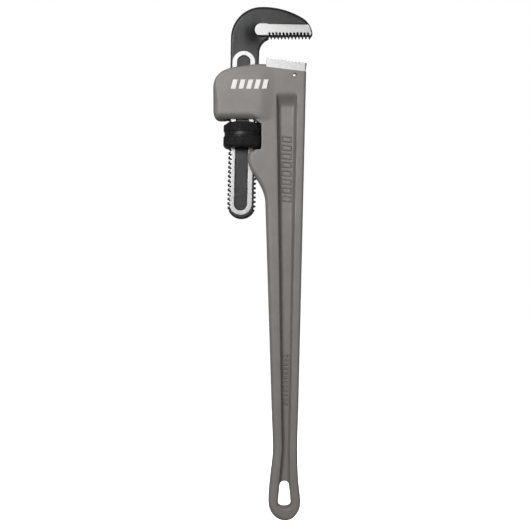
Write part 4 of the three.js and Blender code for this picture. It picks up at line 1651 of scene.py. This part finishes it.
@dataclass
class KnurledNut:
    """The adjusting nut: threaded bore, two knurled bands and a smooth waist."""

    axis: JawAxis
    radius: float = 32.5
    half_height: float = 21.0
    band_depth: float = 1.8
    waist: tuple[float, float] = (-1.4, 6.0)
    top_cone: float = 6.5
    bottom_chamfer: float = 5.0
    knurl_depth: float = 0.9
    knurl_sunk: float = 0.25  # the points' feet lie this deep in the band
    knurl_count: int = 52
    bore_ease: float = 0.6

    def solid(self) -> Field:
        """The blank with its bore, in the jaw's own axes.

        Returns:
            The field.
        """
        half = self.half_height
        inner = self.radius - self.knurl_depth
        waist = self.radius - self.band_depth
        low, high = self.waist
        cone = self.top_cone
        profile = (
            Outline(0, -half)
            .line((inner - self.bottom_chamfer, -half))
            .curve((inner - 0.6, -half), (inner, -half + self.bottom_chamfer))
            .line((inner, low - 0.8))
            .curve((inner, low), (waist, low + 0.6), (waist, low + 1.4), steps=5)
            .line((waist, high - 1.4))
            .curve((waist, high - 0.6), (inner, high), (inner, high + 0.8), steps=5)
            .line((inner, half - cone * 0.75), (inner - cone + 1, half), (0, half)))
        female = HookForging(self.axis)
        ease = self.bore_ease

        def distance(x: Array, y: Array, z: Array) -> Array:
            """Signed distance to the nut's blank.

            Args:
                x: X of the points.
                y: Y of the points.
                z: Z of the points.

            Returns:
                The distances, negative inside.
            """
            across = np.hypot(x, y)
            body = profile.distance(across, z)
            bore = female.thread(x, y, z) - ease
            bore = np.minimum(bore, across - 20.6 - np.maximum(np.abs(z) - half + 3, 0))
            return rounded_cut(body, bore, 0.4)

        return distance

    def build(self) -> bpy.types.Object:
        """Makes the blank, then raises its knurl with geometry nodes.

        Returns:
            The nut.
        """
        net = SurfaceNet(self.solid(), grid_lines((-33.6, 0.92), (33.6, 0)),
                         grid_lines((-33.6, 0.92), (33.6, 0)), grid_lines((-22.1, 0.85), (22.1, 0)))
        made = mesh_object("nut_blank", *net.mesh())
        finish = BlackOxide("nut_black").build()
        upper = (self.waist[1] + 2.2, self.half_height - self.top_cone * 0.75 - 0.6)
        lower = (-self.half_height + self.bottom_chamfer + 0.4, self.waist[0] - 2.2)
        for name, band in {"nut_half": upper, "adjusting_nut_knurled": lower}.items():
            made = self.knurl(*band, finish).run(name, made)
        self.axis.seat(made)
        write_bend(made, 0)
        made.data.materials.clear()
        made.data.materials.append(finish)
        made.data.shade_smooth()
        made.data.set_sharp_from_angle(angle=math.radians(33))
        return made

    def knurl(self, low: float, high: float, finish: bpy.types.Material) -> NodeRecipe:
        """Rows of four-sided points round one band.

        Args:
            low: Its lower edge.
            high: Its upper edge.
            finish: The nut's material.

        Returns:
            The tree.
        """
        step = 2 * math.pi * self.radius / self.knurl_count
        rows = max(2, round((high - low) / step * 2) + 1)
        rise = (high - low) / (rows - 1)
        recipe = NodeRecipe("knurl", takes_mesh=True)
        count = recipe.size("Count", self.knurl_count)
        row_count = recipe.size("Rows", rows)
        depth = self.knurl_depth + self.knurl_sunk
        base = recipe.size("Base radius", (self.radius - depth) * MM)
        first = recipe.size("First row", low * MM)
        pitch = recipe.size("Row pitch", rise * MM)
        tall = recipe.size("Depth", depth * MM)
        wide = recipe.size("Point width", step * 0.58 * MM)
        index = recipe.node("GeometryNodeInputIndex").outputs[0]
        row = recipe.math("FLOOR", recipe.math("DIVIDE", recipe.math("ADD", index, 0.5), count))
        stagger = recipe.math("MULTIPLY", recipe.math("MODULO", row, 2.0), 0.5)
        turn = recipe.math("DIVIDE", recipe.math("ADD", index, stagger), count)
        angle = recipe.math("MULTIPLY", turn, 2 * math.pi)
        point = recipe.node("GeometryNodeMeshCone", {
            "Vertices": 4, "Radius Top": 0.0, "Radius Bottom": wide, "Depth": tall})
        points = recipe.copies(
            recipe.math("MULTIPLY", count, row_count),
            {"X": recipe.math("MULTIPLY", base, recipe.math("COSINE", angle)),
             "Y": recipe.math("MULTIPLY", base, recipe.math("SINE", angle)),
             "Z": recipe.math("ADD", first, recipe.math("MULTIPLY", row, pitch))},
            point.outputs[0], {"Y": math.pi / 2, "Z": angle})
        recipe.close(points, finish, recipe.inputs.outputs["Geometry"])
        return recipe


# ------------------------------------------------------------------------ springs and rivet


@dataclass
class Springs:
    """The coil spring that steadies the hook jaw, and the rivet that holds the leaf spring."""

    axis: JawAxis
    coil_radius: float = 4.4
    wire: float = 0.8
    turns: float = 5.0
    coil_from: float = 24.6
    coil_to: float = 43.4
    coil_height: float = 88.0
    rivet_height: float = 66.0
    rivet_radius: float = 3.0
    rivet_foot: float = 5.4
    housing_left: float = -48.5
    leaf_face: float = -28.8

    def build_coil(self) -> bpy.types.Object:
        """Makes the coil spring with geometry nodes.

        Returns:
            The spring.
        """
        finish = GroundSteel("coil_bright", (0.5, 0.51, 0.53), (0.34, 0.35, 0.37),
                             (300.0, 300.0, 300.0), 0.28, 0.95).build()
        recipe = NodeRecipe("coil")
        spiral = recipe.node("GeometryNodeCurveSpiral", {
            "Resolution": 32,
            "Rotations": recipe.size("Turns", self.turns),
            "Start Radius": recipe.size("Start radius", self.coil_radius * MM),
            "End Radius": recipe.size("End radius", self.coil_radius * MM),
            "Height": recipe.size("Length", (self.coil_to - self.coil_from) * MM)})
        ring = recipe.node("GeometryNodeCurvePrimitiveCircle", {
            "Resolution": 12, "Radius": recipe.size("Wire radius", self.wire * MM)})
        tube = recipe.node("GeometryNodeCurveToMesh", {
            "Curve": spiral.outputs[0], "Profile Curve": ring.outputs[0], "Fill Caps": True})
        smooth = recipe.node("GeometryNodeSetShadeSmooth", {"Geometry": tube.outputs[0]})
        recipe.close(smooth.outputs[0], finish)
        piece = recipe.run("jaw_coil_spring")
        place_mesh(piece, LYING, (self.coil_from, 0, self.coil_height))
        self.axis.seat(piece)
        return piece

    def build_rivet(self) -> bpy.types.Object:
        """Makes the rivet: a foot peened into the housing's side, a shank and a low head.

        Returns:
            The rivet.
        """
        foot, radius = self.rivet_foot, self.rivet_radius
        start = self.housing_left + 0.4
        head = self.leaf_face - 1.2
        profile = [(0, start - 0.1), (foot * 0.4, start - 0.05), (foot * 0.8, start + 0.1),
                   (foot * 0.96, start + 0.5), (foot, start + 1.0), (foot, start + 2.2),
                   (radius, start + 2.2), (radius, head), (4.8, head), (4.8, head + 0.6),
                   (4.2, head + 1.1), (2.4, head + 1.4), (0, head + 1.45)]
        piece = turned_piece("spring_rivet_peened", profile, 36)
        place_mesh(piece, LYING, (0, 0, self.rivet_height))
        self.axis.seat(piece)
        finish = GroundSteel("rivet_steel", (0.4, 0.4, 0.395), (0.25, 0.25, 0.25),
                             (500.0, 500.0, 500.0), 0.36, 0.9)
        piece.data.materials.append(finish.build())
        return piece


# ------------------------------------------------------------------------------ raised marks


@dataclass
class RaisedMarks:
    """A row of plain slanted bars that stand up from a face."""

    name: str
    centre: Vec3  # its middle on the face
    length: float
    width: float
    count: int
    rise: float
    bar: float
    slant: float = 0.0
    rim: float = 0.0  # width of an open frame's border; 0 for a full bar
    upright: bool = False
    slope: float = 0.4  # how far the sides lean in, as a share of the rise

    def build(self, material: bpy.types.Material) -> bpy.types.Object:
        """Makes the row with geometry nodes.

        Args:
            material: Its finish.

        Returns:
            The piece.
        """
        recipe = NodeRecipe("row_" + self.name, takes_mesh=True)
        count = recipe.size("Count", self.count)
        step = recipe.size("Step", self.length / self.count * MM)
        index = recipe.node("GeometryNodeInputIndex").outputs[0]
        middle = recipe.math("DIVIDE", recipe.math("SUBTRACT", count, 1.0), 2.0)
        along = recipe.math("MULTIPLY", recipe.math("SUBTRACT", index, middle), step)
        row = recipe.copies(count, {"X": along}, recipe.inputs.outputs["Geometry"])
        recipe.close(row, material)
        piece = recipe.run(self.name, self.bar_mesh(material))
        place_mesh(piece, LYING if self.upright else np.eye(3), self.centre)
        return piece

    def bar_mesh(self, material: bpy.types.Material) -> bpy.types.Object:
        """One bar or open frame: its top edges are drawn in and its back is sunk in the face.

        Args:
            material: Its finish.

        Returns:
            The bar.
        """
        half, tall, rise = self.bar / 2, self.width / 2, self.rise

        def loop(inset: float, out: float) -> list[Vec3]:
            """Four corners at one level.

            Args:
                inset: How far the corners are drawn in.
                out: Their Y.

            Returns:
                The corners.
            """
            corners = [(-half + inset, -tall + inset), (half - inset, -tall + inset),
                       (half - inset, tall - inset), (-half + inset, tall - inset)]
            return [(x + self.slant * z / self.width, out, z) for x, z in corners]

        draw, sunk, foot = rise * self.slope, 2.0, -rise * 0.1
        loops = [loop(0.0, sunk), loop(0.0, foot), loop(draw, -rise)]
        if self.rim > 0:
            loops += [loop(self.rim - draw, -rise), loop(self.rim, foot), loop(self.rim, sunk)]
        vertices = [point for ring in loops for point in ring]
        levels = len(loops)
        faces: list[tuple[int, ...]] = []
        if self.rim <= 0:
            faces += [(3, 2, 1, 0), (8, 9, 10, 11)]
        for level in range(levels if self.rim > 0 else levels - 1):
            low, high = level * 4, (level + 1) % levels * 4
            for side in range(4):
                after = (side + 1) % 4
                faces.append((low + side, low + after, high + after, high + side))
        piece = mesh_object(self.name + "_bar", np.array(vertices), faces, 30)
        piece.data.materials.append(material)
        return piece


# -------------------------------------------------------------------------------- the studio


@dataclass
class Studio:
    """A pale floor, soft light and the camera."""

    centre: Vec3 = (-33.0, 0.0, 302.0)
    distance: float = 1511.0
    lens: float = 62.2
    floor_height: float = -340.0
    floor_reach: float = 9000.0
    floor_glow: float = 0.92  # keeps the floor as pale as what surrounds it
    facing: tuple[float, float] = (0.1, 0.8)  # how far a ray points to the front or back
    shed: tuple[float, float] = (0.03, 0.23)  # light that comes from there

    def add_light(self, name: str, place: Sequence[float], size: tuple[float, float],
                  power: float, mirrored: bool = True) -> None:
        """Adds a soft box that faces the wrench.

        Args:
            name: Its name.
            place: Where it hangs, in metres.
            size: Its width and height, in metres.
            power: Its power in watts.
            mirrored: False if it isn't to be seen as a highlight.
        """
        data = bpy.data.lights.new(name, "AREA")
        data.shape = "RECTANGLE"
        data.size, data.size_y = size
        data.energy = power
        lamp = in_scene(name, data)
        lamp.location = place
        lamp.visible_glossy = mirrored
        target = Vector(self.centre) * MM
        lamp.rotation_euler = (target - lamp.location).to_track_quat("-Z", "Y").to_euler()

    def build_world(self) -> None:
        """Sets a white surrounding that sheds its light mostly from the front and the back."""
        world = bpy.data.worlds.new("studio")
        world.use_nodes = True
        tree = world.node_tree
        tree.nodes.clear()
        white = (1, 1, 1, 1)
        around = add_node(tree, "ShaderNodeTexCoord").outputs["Generated"]
        way = add_node(tree, "ShaderNodeSeparateXYZ", {0: around}).outputs["Y"]
        facing = add_node(tree, "ShaderNodeMath", {0: way}, operation="ABSOLUTE").outputs[0]
        level = add_node(tree, "ShaderNodeMapRange", {
            "Value": facing, "From Min": self.facing[0], "From Max": self.facing[1],
            "To Min": self.shed[0], "To Max": self.shed[1]}).outputs["Result"]
        light = add_node(tree, "ShaderNodeBackground", {"Color": white, "Strength": level})
        seen = add_node(tree, "ShaderNodeBackground", {"Color": white, "Strength": 1.0})
        by_eye = add_node(tree, "ShaderNodeLightPath").outputs["Is Camera Ray"]
        both = add_node(tree, "ShaderNodeMixShader", {
            0: by_eye, 1: light.outputs[0], 2: seen.outputs[0]})
        add_node(tree, "ShaderNodeOutputWorld", {"Surface": both.outputs[0]})
        bpy.context.scene.world = world

    def build_floor(self) -> bpy.types.Object:
        """Makes the floor.

        Returns:
            The floor.
        """
        reach, z = self.floor_reach, self.floor_height
        corners = [(-reach, -reach, z), (reach, -reach, z), (reach, reach, z), (-reach, reach, z)]
        floor = mesh_object("floor", np.array(corners), [(0, 1, 2, 3)])
        bench = NodeBench("floor_pale")
        shade = bench.mix(bench.noise(0.6, 2.0), (0.93, 0.93, 0.925), (0.95, 0.95, 0.95))
        bench.shader.inputs["Emission Color"].default_value = (1, 1, 1, 1)
        bench.shader.inputs["Emission Strength"].default_value = self.floor_glow
        normal = bench.bump(bench.noise(40.0), 0.0002, 0.2)
        floor.data.materials.append(bench.finish(shade, 0.85, 0.0, normal, 0.2))
        floor.visible_diffuse = False
        floor.visible_glossy = False
        return floor

    def build_camera(self) -> None:
        """Places the camera square to the wrench's front."""
        data = bpy.data.cameras.new("camera")
        data.lens = self.lens
        data.sensor_width = 36.0
        camera = in_scene("camera", data)
        camera.location = (self.centre[0] * MM, -self.distance * MM, self.centre[2] * MM)
        camera.rotation_euler = (math.pi / 2, 0, 0)
        bpy.context.scene.camera = camera

    def build(self) -> None:
        """Makes the whole studio."""
        bpy.context.scene.view_settings.view_transform = "Standard"
        self.build_world()
        self.build_floor()
        self.add_light("key", (-0.75, -1.9, 1.15), (1.0, 1.0), 35.0)
        self.add_light("side", (-1.8, -0.3, 0.5), (0.6, 1.6), 1.5)
        self.add_light("fill", (1.5, -1.6, 0.5), (1.2, 1.6), 3.0)
        self.add_light("top", (0.0, 0.2, 2.3), (1.6, 1.2), 1.5)
        self.add_light("back", (0.9, 2.1, 0.6), (1.4, 1.4), 36.0, False)
        self.build_camera()


# -------------------------------------------------------------------------------------- main


def keep(piece: bpy.types.Object, body: str, node: Optional[str] = None) -> None:
    """Ties a finished piece to the frame and reports it.

    Args:
        piece: The piece.
        body: The body that it rides on.
        node: The CAD node that it stands for.
    """
    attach(piece, body)
    if node is not None:
        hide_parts(node)
    triangles = sum(len(face.vertices) - 2 for face in piece.data.polygons)
    log.info("%s rides on %s, %d triangles", piece.name, body, triangles)


def main() -> None:
    """Builds the wrench round the frame, piece by piece."""
    logging.basicConfig(level=logging.INFO, format="%(message)s")
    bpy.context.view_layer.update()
    Studio().build()
    axis = JawAxis.from_frame()

    casting = HandleCasting(axis).build()
    keep(casting, "handle", "handle")
    cast_grey = casting.data.materials[0]

    keep(HookForging(axis).build(), "hook_jaw", "hook_jaw")

    heel = HeelJaw()
    keep(heel.build(), "handle", "heel_jaw")
    keep(heel.build_pin(), "handle", "heel_jaw_pin")

    keep(KnurledNut(axis).build(), "adjusting_nut", "adjusting_nut")

    springs = Springs(axis)
    keep(springs.build_coil(), "spring_set", "coil_spring")
    keep(springs.build_rivet(), "handle", "spring_rivet")
    leaf = frame["nodes"]["flat_spring"]
    leaf.data.materials.clear()
    leaf.data.materials.append(GroundSteel("leaf_blued", (0.1, 0.11, 0.14), (0.06, 0.065, 0.08),
                                           (300.0, 60.0, 900.0), 0.3, 0.9).build())

    head_mark = RaisedMarks("head_mark", (-57.8, -18.9, 596.7), 63.0, 15.5, 5, 0.8, 8.0, 4.0)
    keep(head_mark.build(MarkPaint().build()), "handle")
    for name, centre, length, width, count in (
            ("web_mark_upper", (2.4, -3.5, 460.0), 112.0, 17.0, 8),
            ("web_mark_lower", (1.0, -3.5, 114.0), 86.0, 9.0, 12)):
        marks = RaisedMarks(name, centre, length, width, count, 1.7, length / count * 0.76,
                            1.5, 3.0, True, 0.75)
        keep(marks.build(cast_grey), "handle")


if __name__ == "__main__":
    main()
